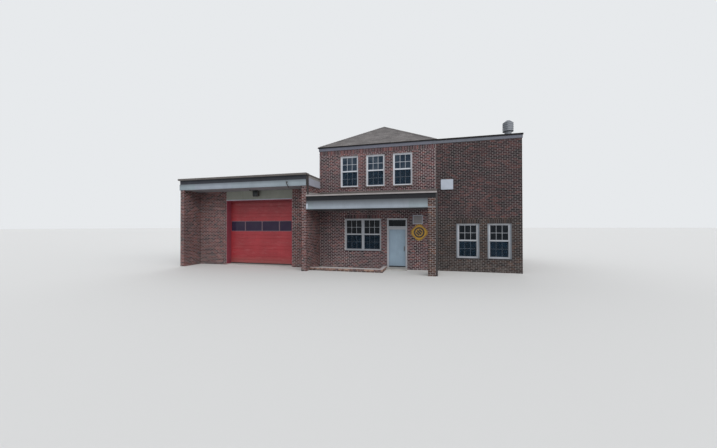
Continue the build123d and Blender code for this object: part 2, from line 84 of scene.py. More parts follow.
# Sashes: half the depth of a bar, the share of it that a level bar has, the columns and rows of a pane, and
# how far apart the two panes of a window can be, upright and sideways
HALF_BAR_DEPTH = 0.011
LEVEL_BAR_SHARE = 0.96
SASH_COLUMNS = 3
SASH_ROWS = 2
SASH_GAP = 0.1
SASH_SHIFT = 0.05

# Shingles: how thick a tab is, how long it is in rows, the gap between two tabs, the shift from row to row
# within each three, in tabs, how far the row below lifts a tab's foot, the narrowest tab, and the width of
# the caps' wings and how far they stand over the slope
SHINGLE_THICK = 0.007
SHINGLE_LAP = 1.25
SHINGLE_GAP = 0.006
ROW_SHIFT = 0.17
SHINGLE_LIFT = 0.009
LEAST_TAB = 0.03
CAP_WING = 0.13
CAP_LIFT = 0.020

# Roofing sheets
SHEET_WIDTH = 0.92
SHEET_LAP = 0.05
SHEET_THICK = 0.006
PORCH_SHEET_WIDTH = 1.10

# The photo's width and the camera that was worked out from it, in pixels, metres and degrees
IMAGE_WIDTH = 717
FOCAL_PIXELS = 292.0
CAMERA_PLACE = (5.1645, -19.888, 2.3277)
CAMERA_YAW = 14.648
CAMERA_PITCH = 0.442
CAMERA_ROLL = 0.093

# The sensor's width in millimetres, and how far the camera sees and the floor reaches, in metres
SENSOR = 36.0
CLIP_END = 2000
FLOOR_REACH = 400.0


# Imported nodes

def box(node):
    """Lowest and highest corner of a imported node, as two arrays."""
    lo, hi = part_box(node)
    return np.array(lo), np.array(hi)


def islands(node):
    """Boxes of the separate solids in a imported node: corners that coincide get one label, and labels spread
    along the triangles until each solid has a single one. Sorted from left to right, then front to back."""
    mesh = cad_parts[node].data
    co = np.empty(len(mesh.vertices) * 3)
    mesh.vertices.foreach_get("co", co)
    co = co.reshape(-1, 3)
    mesh.calc_loop_triangles()
    tri = np.empty(len(mesh.loop_triangles) * 3, dtype=int)
    mesh.loop_triangles.foreach_get("vertices", tri)
    same = np.unique((co * 1e4).round().astype(int), axis=0, return_inverse=True)[1].ravel()
    tri = same[tri.reshape(-1, 3)]
    label = np.arange(same.max() + 1)
    while True:
        low = label[tri].min(1)
        spread = label.copy()
        for corner in range(3):
            np.minimum.at(spread, tri[:, corner], low)
        if np.array_equal(spread, label):
            break
        label = spread
    groups = label[same]
    found = [(co[groups == g].min(0), co[groups == g].max(0)) for g in np.unique(groups)]
    return sorted(found, key=lambda b: tuple(np.round(b[0], 2)))


def rect(b, axis=0):
    """A box as (u0, u1, z0, z1) on a face that runs along the axis."""
    return b[0][axis], b[1][axis], b[0][2], b[1][2]


def front_of(b):
    """Middle of a box's front face, its width and its height."""
    lo, hi = b
    return np.array([(lo[0] + hi[0]) / 2, lo[1], (lo[2] + hi[2]) / 2]), hi[0] - lo[0], hi[2] - lo[2]


def casing_openings():
    """Lowest and highest corner of each annexe window, from the two boards at its sides."""
    boards = islands("annexe_window_casings")
    return [(a[0], b[1]) for a, b in zip(boards[::2], boards[1::2])]


# Sizes and colours

def length(label, text, value):
    """A length that the user can change."""
    return FloatProperty(name=label, description=text, default=value, unit="LENGTH")


def paint(label, value):
    """A colour that the user can change."""
    return FloatVectorProperty(name=label, description="Colour of the " + label.lower(), subtype="COLOR",
                               size=3, min=0, max=1, default=value)


class StationSizes(bpy.types.PropertyGroup):
    """Sizes of the small pieces that are laid on the building."""
    brick_length: length("Brick length", "Length of one brick", 0.208)
    brick_height: length("Brick height", "Height of one brick", 0.076)
    joint: length("Head joint", "Width of the mortar between the ends of two bricks", 0.017)
    bed_joint: length("Bed joint", "Height of the mortar between two courses", 0.010)
    proud: length("Joint rake", "How far brick faces stand before the mortar", 0.004)
    shingle_width: length("Shingle width", "Width of one tab", 0.305)
    shingle_exposure: length("Shingle exposure", "Height of a tab that shows", 0.142)
    bar_width: length("Window bar", "Width of a window bar", 0.018)
    seed: IntProperty(name="Seed", description="Start of the random brick tones", default=7, min=0)


class StationColours(bpy.types.PropertyGroup):
    """Colours of the finishes."""
    brick_dark: paint("Darkest bricks", (0.017, 0.009, 0.012))
    brick_mid: paint("Common bricks", (0.068, 0.024, 0.030))
    brick_light: paint("Lightest bricks", (0.185, 0.064, 0.058))
    mortar: paint("Mortar", (0.550, 0.515, 0.510))
    fascia: paint("Fascia boards", (0.260, 0.295, 0.336))
    eave_board: paint("Eave boards", (0.106, 0.110, 0.142))
    band: paint("Dark bands", (0.040, 0.042, 0.052))
    bay_door: paint("Bay door", (0.270, 0.023, 0.030))
    leaf: paint("Entrance door", (0.240, 0.325, 0.405))
    white_paint: paint("Window paint", (0.500, 0.525, 0.570))
    shingle: paint("Shingles", (0.138, 0.128, 0.126))
    yellow: paint("Yellow sign", (0.430, 0.236, 0.018))


def sizes():
    """The sizes that the user has set."""
    return bpy.context.scene.station_sizes


# Meshes

FINISHES = {}
CUBE_CORNERS = np.array([(x, y, z) for z in (0, 1) for x, y in ((0, 0), (1, 0), (1, 1), (0, 1))])
CUBE_FACES = np.array([[0, 3, 2, 1], [4, 5, 6, 7], [0, 1, 5, 4], [1, 2, 6, 5], [2, 3, 7, 6], [3, 0, 4, 7]])


def placed(name, data):
    """A new object in the scene."""
    made = bpy.data.objects.new(name, data)
    bpy.context.scene.collection.objects.link(made)
    return made


def piece(name, shape, finish, body=BODY, tone=None, smooth=False):
    """A mesh object at the origin that rides on a body. The shape is (points, faces) or a list of such pairs.
    The tone is one number for every block of eight points, kept as an attribute."""
    points, faces = joined(shape) if isinstance(shape, list) else shape
    mesh = bpy.data.meshes.new(name)
    mesh.from_pydata(points, [], faces)
    mesh.update()
    if tone is not None:
        attribute = mesh.attributes.new("tone", "FLOAT", "POINT")
        attribute.data.foreach_set("value", np.repeat(tone, 8).astype(np.float32))
    if smooth:
        mesh.polygons.foreach_set("use_smooth", np.ones(len(mesh.polygons), dtype=bool))
    made = placed(name, mesh)
    mesh.materials.append(FINISHES[finish])
    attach(made, body)


def joined(groups):
    """Several (points, faces) groups as one."""
    points, faces, start = [], [], 0
    for p, f in groups:
        points.append(np.asarray(p))
        faces += [[int(i) + start for i in face] for face in f]
        start += len(p)
    return np.vstack(points), faces


def stacked(rows):
    """Rows of arrays, one below the other: one array for each column."""
    return [np.vstack(column) for column in zip(*rows)]


def arrays(*values):
    """Each value as an array."""
    return [np.asarray(value, dtype=float) for value in values]


def points_at(x, y, z):
    """Points from three coordinates, each an array or one number for all."""
    return np.stack(np.broadcast_arrays(x, y, z), -1).astype(float)


def cube_faces(count):
    """Faces of that many blocks of eight points."""
    return (CUBE_FACES[None] + 8 * np.arange(count)[:, None, None]).reshape(-1, 4)


def cuboids(lo, hi):
    """Corners and faces of many upright blocks: corner = lo + (hi - lo) * unit cube corner."""
    lo, hi = np.atleast_2d(lo), np.atleast_2d(hi)
    points = lo[:, None, :] + (hi - lo)[:, None, :] * CUBE_CORNERS[None]
    return points.reshape(-1, 3), cube_faces(len(lo))


def tilted_cuboids(origin, *edges):
    """As cuboids, but each block has its own corner and three edge vectors, in right-hand order. An edge can
    also be one vector for all blocks. Corner = origin + sum of unit cube corner * edge."""
    axes = np.stack([np.broadcast_to(edge, origin.shape) for edge in edges], axis=1)[:, None]
    points = origin[:, None, :] + (CUBE_CORNERS[None, :, :, None] * axes).sum(2)
    return points.reshape(-1, 3), cube_faces(len(origin))


def grid_faces(rows, count, ring=False):
    """Faces between neighbouring rows of count points. Every row closes on itself, and with ring the last row
    also meets the first."""
    i, j = np.meshgrid(np.arange(rows if ring else rows - 1), np.arange(count), indexing="ij")
    after, k = (i + 1) % rows, (j + 1) % count
    corners = [i * count + j, i * count + k, after * count + k, after * count + j]
    return np.stack(corners, -1).reshape(-1, 4).tolist()


def capped(rows, count):
    """The same faces, with the first and the last row filled."""
    last = (rows - 1) * count
    return grid_faces(rows, count) + [list(range(count))[::-1], list(range(last, last + count))]


def turned(profile, steps):
    """A closed surface of revolution about Z: point = (r cos a, r sin a, z) for each (r, z) of the profile,
    whose ends lie on the axis."""
    profile = np.asarray(profile, dtype=float)
    angle = np.linspace(0, 2 * math.pi, steps, endpoint=False)
    radius, height = profile[1:-1].T[:, :, None]
    wall = points_at(radius * np.cos(angle), radius * np.sin(angle), height).reshape(-1, 3)
    around = np.arange(steps)
    after = (around + 1) % steps
    low, top = len(wall), len(wall) - steps
    bottom_fan = points_at(low, after, around).astype(int).tolist()
    top_fan = points_at(low + 1, top + around, top + after).astype(int).tolist()
    points = np.vstack([wall, [0, 0, profile[0, 1]], [0, 0, profile[-1, 1]]])
    return points, grid_faces(len(profile) - 2, steps) + bottom_fan + top_fan


def carried(profile, start, end, side, up):
    """A closed straight moulding: each (s, t) of the outline goes to start + s * side + t * up, and once more
    at the end."""
    profile, start, end, side, up = arrays(profile, start, end, side, up)
    across = profile[:, :1] * side + profile[:, 1:] * up
    faces = capped(2, len(profile))
    inward = np.dot(np.cross(side, up), end - start) < 0
    area = np.sum(profile[:, 0] * np.roll(profile[:, 1], -1) - np.roll(profile[:, 0], -1) * profile[:, 1])
    if inward != (area < 0):
        faces = [face[::-1] for face in faces]
    return np.vstack([start + across, end + across]), faces


def level_run(profile, x0, x1, y, z, side=OUT):
    """A moulding carried from x0 to x1, upright, with its outline standing out to the side."""
    return carried(profile, (x0, y, z), (x1, y, z), side, UP)


def edge_lips(outline, b, corners):
    """A lip along the foot of a box. It runs between neighbouring corners, which are given by 0 for the low
    and 1 for the high side in X and Y, and it stands away from the box's middle."""
    places = [np.array([b[i][0], b[j][1], b[0][2]]) for i, j in corners]
    runs = []
    for start, end in zip(places, places[1:]):
        side = (start + end) / 2 - (b[0] + b[1]) / 2
        side[2] = 0
        runs.append(carried(outline, start, end, side / np.linalg.norm(side), UP))
    return runs


def tube(path, radius, sides):
    """A round bar: a circle of the radius stands square on each point of the path, closed by its ends."""
    path = np.asarray(path, dtype=float)
    along = np.gradient(path, axis=0)
    along /= np.linalg.norm(along, axis=1)[:, None]
    helper = np.where(np.abs(along[:, 2:3]) > 0.9, np.array([[1.0, 0, 0]]), np.array([[0, 0, 1.0]]))
    side = np.cross(helper, along)
    side /= np.linalg.norm(side, axis=1)[:, None]
    up = np.cross(along, side)
    angle = np.linspace(0, 2 * math.pi, sides, endpoint=False)[None, :, None]
    ring = radius * (np.cos(angle) * side[:, None] + np.sin(angle) * up[:, None])
    return (path[:, None] + ring).reshape(-1, 3), capped(len(path), sides)


def rounded(width, height, corner, steps=8):
    """Outline of a rectangle with round corners about (0, 0): each corner is a quarter circle about its
    centre, anticlockwise from the right side."""
    angle = np.linspace(0, math.pi / 2, steps)
    turns = np.arange(4)[:, None] * math.pi / 2 + angle[None]
    centre_u = np.array([1, -1, -1, 1])[:, None] * (width / 2 - corner)
    centre_v = np.array([1, 1, -1, -1])[:, None] * (height / 2 - corner)
    return np.stack([centre_u + corner * np.cos(turns), centre_v + corner * np.sin(turns)], -1).reshape(-1, 2)


def pressed(outline, rings, place, axes=FRONT):
    """A closed pressed plate: the outline is drawn once for each (scale, height) of the rings, at
    place + scale * (outline u, v) + height * out, and the first and last rings are filled."""
    outline, place, u, v, out = arrays(outline, place, *axes)
    scale, height = np.array(rings, dtype=float).T[:, :, None, None]
    points = place + scale * (outline[:, :1] * u + outline[:, 1:] * v) + height * out
    return points.reshape(-1, 3), capped(len(rings), len(outline))


def rim(outer, inner, low, high, place, axes=FRONT):
    """A closed flat ring between two outlines of equal length, from the low to the high height along out."""
    place, u, v, out = arrays(place, *axes)
    loops = [(outer, low), (outer, high), (inner, high), (inner, low)]
    points = [place + outline[:, :1] * u + outline[:, 1:] * v + level * out for outline, level in loops]
    return np.vstack(points), grid_faces(len(loops), len(outer), ring=True)


def screws(name, places, radius):
    """Low domed screw heads on the front: a small pressed disc at each place."""
    circle = rounded(2 * radius, 2 * radius, radius * 0.999, 4)
    rings = [(1, -0.001), (1, radius * 0.25), (0.7, radius * 0.5), (0.3, radius * 0.6)]
    piece(name, [pressed(circle, rings, place) for place in places], "steel")


# Finishes

def shade(colour, factor):
    """A colour made darker or lighter."""
    return tuple(min(1.0, float(c) * factor) for c in colour)


def blend(a, b, share):
    """A colour between two others."""
    return tuple(float(x) * (1 - share) + float(y) * share for x, y in zip(a, b))


class Finish:
    """A material built from a Principled shader and a chain of procedural nodes on Object coordinates. Its
    base colour is worked out in steps: multiply tints what is there, and coat lays a colour over it."""

    def __init__(self, roughness, metallic=0.0, gloss=0.5, alpha=1.0):
        self.material = bpy.data.materials.new("finish")
        self.material.use_nodes = True
        self.tree = self.material.node_tree
        self.shader = self.tree.nodes["Principled BSDF"]
        self.put("Roughness", roughness)
        self.put("Metallic", metallic)
        self.put("Specular IOR Level", gloss)
        self.put("Alpha", alpha)
        self.place = self.tree.nodes.new("ShaderNodeTexCoord").outputs["Object"]
        self.base = None

    def put(self, key, value, node=None):
        """Link an input of the node, or of the shader, to a socket, or set it to a constant."""
        socket = (node or self.shader).inputs[key]
        if isinstance(value, bpy.types.NodeSocket):
            self.tree.links.new(value, socket)
        else:
            socket.default_value = (*value, 1) if socket.type == "RGBA" else value

    def add(self, kind, inputs=(), **settings):
        """A node with its settings and its inputs, by name or number."""
        node = self.tree.nodes.new(kind)
        for key, value in settings.items():
            setattr(node, key, value)
        for key, value in dict(inputs).items():
            self.put(key, value, node)
        return node

    def stretch(self, scale, shift=(0, 0, 0)):
        """The place of the point, scaled and shifted."""
        inputs = {"Vector": self.place, "Scale": scale, "Location": shift}
        return self.add("ShaderNodeMapping", inputs).outputs["Vector"]

    def noise(self, scale, detail, stretch=(1, 1, 1), shift=(0, 0, 0), rough=0.55):
        """Soft noise from 0 to 1, with that many features a metre."""
        inputs = {"Vector": self.stretch(stretch, shift), "Scale": scale, "Detail": detail,
                  "Roughness": rough}
        return self.add("ShaderNodeTexNoise", inputs).outputs["Fac"]

    def cells(self, scale, feature="F1", output="Distance"):
        """Irregular cells: the distance to their middles or edges, or a colour for each."""
        inputs = {"Vector": self.stretch((1, 1, 1)), "Scale": scale}
        return self.add("ShaderNodeTexVoronoi", inputs, feature=feature).outputs[output]

    def tone(self):
        """The tone of each brick or shingle."""
        return self.add("ShaderNodeAttribute", attribute_name="tone").outputs["Fac"]

    def height(self):
        """Z of the point, in metres."""
        return self.add("ShaderNodeSeparateXYZ", {"Vector": self.place}).outputs["Z"]

    def maths(self, operation, a, b):
        """One sum of two numbers, each a socket or a constant."""
        return self.add("ShaderNodeMath", {0: a, 1: b}, operation=operation).outputs[0]

    def product(self, a, b):
        """a times b."""
        return self.maths("MULTIPLY", a, b)

    def mix(self, factor, a, b, mode="MIX"):
        """Mix of two colours; each of the three is a socket or a constant."""
        inputs = {"Factor": factor, 6: a, 7: b}
        return self.add("ShaderNodeMix", inputs, data_type="RGBA", blend_type=mode).outputs[2]

    def ramp(self, factor, *stops):
        """Colours or greys along a factor: stops are (place, colour)."""
        node = self.add("ShaderNodeValToRGB", {"Fac": factor})
        ramp = node.color_ramp
        for place, colour in stops[2:]:
            ramp.elements.new(place)
        for element, (place, colour) in zip(ramp.elements, stops):
            element.position = place
            element.color = (*colour, 1) if isinstance(colour, tuple) else (colour, colour, colour, 1)
        return node.outputs["Color"]

    def field(self, scale, detail, low, high, colour=None, **more):
        """Noise turned into greys between two stops, or into shades of a colour."""
        if colour:
            low, high = [(place, shade(colour, factor)) for place, factor in (low, high)]
        return self.ramp(self.noise(scale, detail, **more), low, high)

    def multiply(self, tint):
        """Base colour = base colour * tint."""
        self.base = self.mix(1.0, self.base, tint, "MULTIPLY")

    def coat(self, amount, colour, share=None):
        """Base colour mixed with another by the amount, or by the amount * share."""
        self.base = self.mix(self.product(amount, share) if share else amount, self.base, colour)

    def done(self, height=None, distance=0.0, strength=0.0):
        """The material, with its base colour and with a bump where a height is given."""
        self.put("Base Color", self.base)
        if height is not None:
            inputs = {"Height": height, "Distance": distance, "Strength": strength}
            self.put("Normal", self.add("ShaderNodeBump", inputs).outputs["Normal"])
        return self.material


def brick_finish(dark, mid, light):
    """Fired brick: one tone a brick, clouded and speckled inside it, with dust and damp stains."""
    f = Finish(0.86)
    f.base = f.ramp(f.tone(), (0.0, dark), (0.22, blend(dark, mid, 0.5)), (0.55, mid), (1.0, light))
    f.multiply(f.field(26, 5, (0.30, 0.72), (0.70, 1.18)))
    f.coat(f.field(210, 3, (0.62, 0.0), (0.74, 1.0)), shade(light, 1.5), 0.35)
    f.multiply(f.field(0.55, 5, (0.38, 0.80), (0.62, 1.08), stretch=(1, 1, 0.5)))
    foot = f.ramp(f.height(), (0.0, 0.45), (0.9, 0.0))
    f.coat(f.product(foot, f.field(5, 5, (0.42, 0.0), (0.68, 1.0))), (0.36, 0.31, 0.28), 0.5)
    return f.done(f.mix(0.5, f.noise(320, 4), f.noise(60, 4)), 0.004, 0.6)


def mortar_finish(colour):
    """Sandy mortar with soot."""
    f = Finish(0.95)
    f.base = f.field(0.8, 5, (0.35, 0.72), (0.65, 1.06), colour)
    f.multiply(f.field(240, 3, (0.35, 0.82), (0.65, 1.12)))
    # Sandy mortar with sooty patches.
    return f.done(f.noise(260, 3), 0.003, 0.5)


def painted_finish(colour, roughness, dirt, streak=26.0, chips=0.0, board=0.0, painted_shade=(), above=None,
                   gloss=0.5):
    """Outdoor paint: clouded, with dirt that has run down it and, where asked, chips to what is under it,
    boards of the given length that have each aged to their own tone, painted shade that fades out over a
    reach below each of its given heights, and another colour above a height, so that the two are lit and
    shaded copies of one paint, the lower one painted shade."""
    f = Finish(roughness, gloss=gloss)
    f.base = f.field(1.7, 5, (0.3, 0.88), (0.7, 1.06), colour)
    # Above the level the lit copy of the paint; below it the shaded copy, painted shade.
    if above:
        level, lit_colour = above
        f.coat(f.maths("GREATER_THAN", f.height(), level), f.field(1.7, 5, (0.3, 0.88), (0.7, 1.06), lit_colour))
    if board:
        step = f.stretch((1 / board, 0, 0), (0.37, 0, 0))
        whole = f.add("ShaderNodeVectorMath", {0: step}, operation="FLOOR").outputs[0]
        aged = f.add("ShaderNodeTexWhiteNoise", {"Vector": whole}).outputs["Value"]
        f.multiply(f.ramp(aged, (0.0, (0.84, 0.92, 0.88)), (1.0, (1.06, 1.03, 1.08))))
    runs = f.field(streak, 4, (0.50, 0.0), (0.78, 1.0), stretch=(1, 1, 0.06))
    patches = f.field(2.4, 5, (0.35, 0.15), (0.70, 1.0), shift=(3, 1, 2))
    f.coat(f.product(runs, patches), shade(colour, 0.45), dirt)
    f.multiply(f.field(90, 3, (0.35, 0.94), (0.65, 1.04)))
    # Painted shade under the roof edges: strongest just below each top, fading out over its reach.
    for top, reach, strength in painted_shade:
        below = f.maths("DIVIDE", f.maths("SUBTRACT", top, f.height()), reach)
        shade_amount = f.ramp(below, (0.0, strength), (1.0, 0.0))
        f.coat(f.product(shade_amount, f.maths("LESS_THAN", f.height(), top)), shade(colour, 0.15))
    if chips:
        f.coat(f.field(34, 6, (0.70 - 0.06 * chips, 0.0), (0.72, 1.0), rough=0.7), (0.20, 0.17, 0.15))
    f.put("Roughness", f.field(7, 4, (0.3, roughness - 0.10), (0.7, roughness + 0.14)))
    return f.done(f.noise(55, 4), 0.0015, 0.35)


def bay_door_finish(colour):
    """Sun-faded red steel: darker towards the top, chalky patches, dirt that has run down it and
    splashes near the ground."""
    f = Finish(0.48)
    f.base = f.field(0.9, 5, (0.3, 0.82), (0.7, 1.12), colour)
    # Darker towards the top of the door.
    f.multiply(f.ramp(f.product(f.height(), 0.25), (0.1, 1.10), (0.62, 1.04), (0.98, 0.78)))
    f.coat(f.field(17, 4, (0.50, 0.0), (0.80, 1.0), stretch=(1, 1, 0.05)), shade(colour, 0.5), 0.30)
    f.coat(f.field(6, 5, (0.55, 0.0), (0.80, 1.0), stretch=(0.4, 1, 1.6)), (0.48, 0.20, 0.20), 0.22)
    splash = f.ramp(f.height(), (0.05, 0.8), (0.55, 0.0))
    f.coat(f.product(splash, f.noise(12, 5)), (0.22, 0.13, 0.11))
    f.put("Roughness", f.field(9, 4, (0.3, 0.40), (0.7, 0.62)))
    return f.done(f.noise(40, 4), 0.0012, 0.3)


def metal_finish(colour, roughness, metallic, spangle=0.0):
    """Dull outdoor metal, with the crystal spangle of zinc where asked, and water marks."""
    f = Finish(roughness, metallic)
    f.base = f.field(3.0, 5, (0.3, 0.82), (0.7, 1.08), colour)
    if spangle:
        f.multiply(f.ramp(f.cells(48, output="Color"), (0.2, 1 - spangle), (0.8, 1 + spangle * 0.4)))
    f.coat(f.field(30, 4, (0.55, 0.0), (0.80, 1.0), stretch=(1, 1, 0.05)), shade(colour, 0.5), 0.35)
    f.put("Roughness", f.field(12, 4, (0.3, roughness - 0.10), (0.7, roughness + 0.15)))
    return f.done(f.noise(24, 3), 0.001, 0.25)


def glass_finish(tint, clear):
    """Window glass, dark inside: partly see-through, with a film of dust, painted shade that darkens it
    near the ground and painted light that makes it paler higher up.
    """
    f = Finish(0.06, gloss=0.16, alpha=1 - clear)
    f.base = f.ramp(f.noise(2.2, 4), (0.4, tint), (0.8, blend(tint, (0.3, 0.34, 0.38), 0.16)))
    # Painted shade low down and painted light higher up.
    f.multiply(f.ramp(f.product(f.height(), 0.2), (0.54, 0.22), (0.84, 1.25)))
    f.put("Roughness", f.field(5, 4, (0.3, 0.03), (0.7, 0.10)))
    f.material.blend_method = "BLEND"
    return f.done()


def shingle_finish(colour):
    """Mineral grains on roof shingles: one tone a tab, fine grains and darker weathered runs."""
    f = Finish(0.93)
    f.base = f.ramp(f.tone(), (0.0, shade(colour, 0.62)), (0.5, colour), (1.0, shade(colour, 1.38)))
    f.multiply(f.field(420, 2, (0.30, 0.62), (0.70, 1.36)))
    f.multiply(f.field(1.3, 5, (0.35, 0.80), (0.65, 1.10)))
    return f.done(f.noise(300, 3), 0.004, 0.7)


def sheet_roof_finish(colour):
    """Gravelled flat roof: small stones, puddle marks."""
    f = Finish(0.92)
    f.base = f.ramp(f.cells(34, output="Color"), (0.1, shade(colour, 0.62)), (0.9, shade(colour, 1.25)))
    f.multiply(f.field(0.5, 5, (0.40, 0.74), (0.60, 1.06)))
    return f.done(f.cells(34), 0.012, 0.8)


def concrete_finish(colour):
    """Trowelled concrete: clouds, pores and hair cracks."""
    f = Finish(0.88)
    f.base = f.field(1.6, 6, (0.3, 0.78), (0.7, 1.08), colour)
    f.multiply(f.field(120, 3, (0.30, 0.80), (0.55, 1.04)))
    crack = f.ramp(f.cells(0.9, feature="DISTANCE_TO_EDGE"), (0.0, 1.0), (0.006, 0.0))
    f.coat(crack, shade(colour, 0.3), 0.6)
    return f.done(f.noise(90, 4), 0.002, 0.5)


def screen_finish(colour):
    """Fine dark netting, seen as a dull film."""
    f = Finish(0.8, gloss=0.1, alpha=0.34)
    f.base = f.field(3, 4, (0.3, 0.8), (0.7, 1.3), colour)
    return f.done()


def make_finishes():
    """All finishes, by name."""
    group = bpy.context.scene.station_colours
    c = {name: tuple(getattr(group, name)) for name in group.__annotations__}
    dark, mid, light = c["brick_dark"], c["brick_mid"], c["brick_light"]
    white, band = c["white_paint"], c["band"]
    # Painted shade under the roof edges of the two boards: its top, how far down it fades, and its strength.
    bay_painted_shade = (box("garage_fascia")[1][2] - SHADE_DROP, 0.16, 0.55)
    porch_painted_shade = (box("porch_fascia")[1][2], 0.34, 1.0)
    # Height between the porch's boards and the bay's: band, soffit and window paint are darker copies below
    # it.
    between = (box("porch_fascia")[1][2] + box("garage_fascia")[0][2]) / 2
    return {
        "brick": brick_finish(dark, mid, light),
        "brick_annexe": brick_finish(shade(dark, 0.45), shade(mid, 0.42), shade(light, 0.50)),
        "brick_infill": brick_finish((0.008, 0.005, 0.005), (0.020, 0.010, 0.008), (0.060, 0.030, 0.021)),
        "brick_garage": brick_finish(dark, blend(mid, (0.105, 0.026, 0.020), 0.6), shade(light, 1.1)),
        "brick_pier": brick_finish((0.020, 0.010, 0.010), (0.050, 0.020, 0.014), (0.125, 0.052, 0.031)),
        "brick_rowlock": brick_finish(mid, (0.200, 0.105, 0.075), (0.400, 0.260, 0.190)),
        "mortar": mortar_finish(c["mortar"]),
        "mortar_annexe": mortar_finish(shade(c["mortar"], 0.44)),
        "mortar_pier": mortar_finish(shade(c["mortar"], 0.80)),
        "concrete": concrete_finish((0.42, 0.41, 0.39)),
        "fascia": painted_finish(c["fascia"], 0.5, 0.45, chips=0.5, board=2.44, painted_shade=(bay_painted_shade, porch_painted_shade)),
        "eave": painted_finish(c["eave_board"], 0.5, 0.5, board=3.05),
        # The dark band: below the dividing height a darker copy of its paint, painted shade on the porch's
        # band.
        "band": painted_finish(shade(band, 0.36), 0.5, 0.5, board=3.05, above=(between, band), gloss=0.2),
        "drip": metal_finish((0.105, 0.095, 0.090), 0.6, 0.1),
        "white_drip": metal_finish((0.31, 0.29, 0.29), 0.55, 0.1),
        "dark_metal": painted_finish((0.034, 0.030, 0.030), 0.45, 0.4),
        "edge": painted_finish((0.011, 0.010, 0.011), 0.6, 0.4, gloss=0.15),
        "gravel": sheet_roof_finish((0.36, 0.35, 0.33)),
        "felt": sheet_roof_finish((0.135, 0.105, 0.095)),
        "shingle": shingle_finish(c["shingle"]),
        "bay_door": bay_door_finish(c["bay_door"]),
        # Window paint: a darker copy on the lower storey, painted shade, and a paler copy above, painted
        # light.
        "white": painted_finish(shade(white, 0.70), 0.42, 0.35, above=(between, shade(white, 1.08))),
        "glass": glass_finish((0.012, 0.024, 0.040), 0.08),
        "screen": screen_finish((0.014, 0.030, 0.050)),
        "casing": painted_finish((0.176, 0.206, 0.244), 0.5, 0.4),
        # Sill noses: near-black, partly their own dark paint and partly painted shade under the frames.
        "sill": painted_finish((0.050, 0.052, 0.060), 0.6, 0.4, gloss=0.2),
        "cream": painted_finish((0.230, 0.238, 0.205), 0.62, 0.35, streak=7.0),
        # Soffits: the porch's ceiling takes a dark copy of the paint, painted shade.
        "soffit": painted_finish((0.070, 0.070, 0.076), 0.7, 0.4, above=(between, (0.225, 0.225, 0.240))),
        "leaf": painted_finish(c["leaf"], 0.42, 0.35, chips=0.3),
        "zinc": metal_finish((0.19, 0.205, 0.23), 0.5, 0.4, spangle=0.25),
        "yellow": painted_finish(c["yellow"], 0.4, 0.4),
        "black": painted_finish((0.020, 0.018, 0.018), 0.4, 0.2),
        "panel": painted_finish((0.39, 0.43, 0.50), 0.4, 0.25),
        "notice": painted_finish((0.20, 0.19, 0.195), 0.5, 0.3),
        "steel": metal_finish((0.20, 0.20, 0.21), 0.35, 0.9),
        "bay_glass": glass_finish((0.138, 0.088, 0.200), 0.05),
        "jamb": painted_finish((0.236, 0.043, 0.066), 0.5, 0.5),
        # The return board's paint: a paler copy of the fascia paint, painted light on the board's side face.
        "return": painted_finish((0.345, 0.362, 0.420), 0.5, 0.5),
        "bead": metal_finish((0.150, 0.118, 0.145), 0.5, 0.3),
        "lens": glass_finish((0.022, 0.026, 0.026), 0.0),
        "rubber": painted_finish((0.022, 0.022, 0.024), 0.7, 0.3),
    }


NODES_OF_FINISH = {
    "band": "upper_fascia_bands",
    "bay_door": "garage_door",
    "bay_glass": "garage_door_glass",
    "casing": "annexe_window_casings",
    "concrete": "entrance_step garage_floor ground_floor upper_floor",
    "cream": "garage_header_panel",
    "dark_metal": "bay_lamp downspouts",
    "drip": "garage_drip_edge porch_flashing",
    "eave": "main_fascia",
    "edge": "annexe_coping",
    "fascia": "garage_fascia porch_fascia",
    "felt": "porch_roof",
    "glass": "front_window_glass side_and_back_window_glass transom_glass",
    "gravel": "annexe_roof garage_roof",
    "jamb": "garage_door_frame",
    "leaf": "entrance_door",
    "mortar": "back_wall garage_back_wall garage_front_wall garage_lintel garage_side_walls house_left_wall "
              "house_front_wall_lower house_front_wall_upper planter_wall upper_window_sills",
    "mortar_annexe": "annexe_front_wall annexe_right_wall",
    "mortar_pier": "porch_pier",
    "panel": "wall_panels",
    "shingle": "hip_roof",
    "soffit": "roof_beam soffits",
    "steel": "door_hardware",
    "white": "entrance_frame front_window_frames side_and_back_window_frames",
    "white_drip": "porch_drip_edge",
    "yellow": "yellow_sign",
    "zinc": "roof_vent",
}


class STATION_OT_finishes(bpy.types.Operator):
    """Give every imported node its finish"""
    bl_idname = "station.finishes"
    bl_label = "Finishes"

    def execute(self, context):
        FINISHES.update(make_finishes())
        for name, material in FINISHES.items():
            material.name = name
        finish_of = {name: finish for finish, names in NODES_OF_FINISH.items() for name in names.split()}
        for name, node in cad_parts.items():
            node.data.materials.clear()
            node.data.materials.append(FINISHES[finish_of[name]])
        return {"FINISHED"}


# Brickwork

class Facade:
    """One upright brick face. With axis 0 it runs along X and faces -Y or +Y, with axis 1 it runs along Y and
    faces -X or +X."""

    def __init__(self, axis, plane, outward):
        self.axis = axis
        self.plane = plane
        self.outward = outward

    def blocks(self, rects, depth_out):
        """Lowest and highest corners of blocks over (u0, u1, z0, z1) rectangles of the face."""
        near = self.plane - self.outward * BRICK_BED
        far = self.plane + self.outward * depth_out
        order = (1, 0, 2) if self.axis else (0, 1, 2)
        lo = points_at(rects[:, 0], np.minimum(near, far), rects[:, 2])
        hi = points_at(rects[:, 1], np.maximum(near, far), rects[:, 3])
        return lo[:, order], hi[:, order]


def wide_enough(rects):
    """The rectangles without slivers."""
    return rects[(rects[:, 1] - rects[:, 0] > LEAST_CUT) & (rects[:, 3] - rects[:, 2] > LEAST_CUT)]


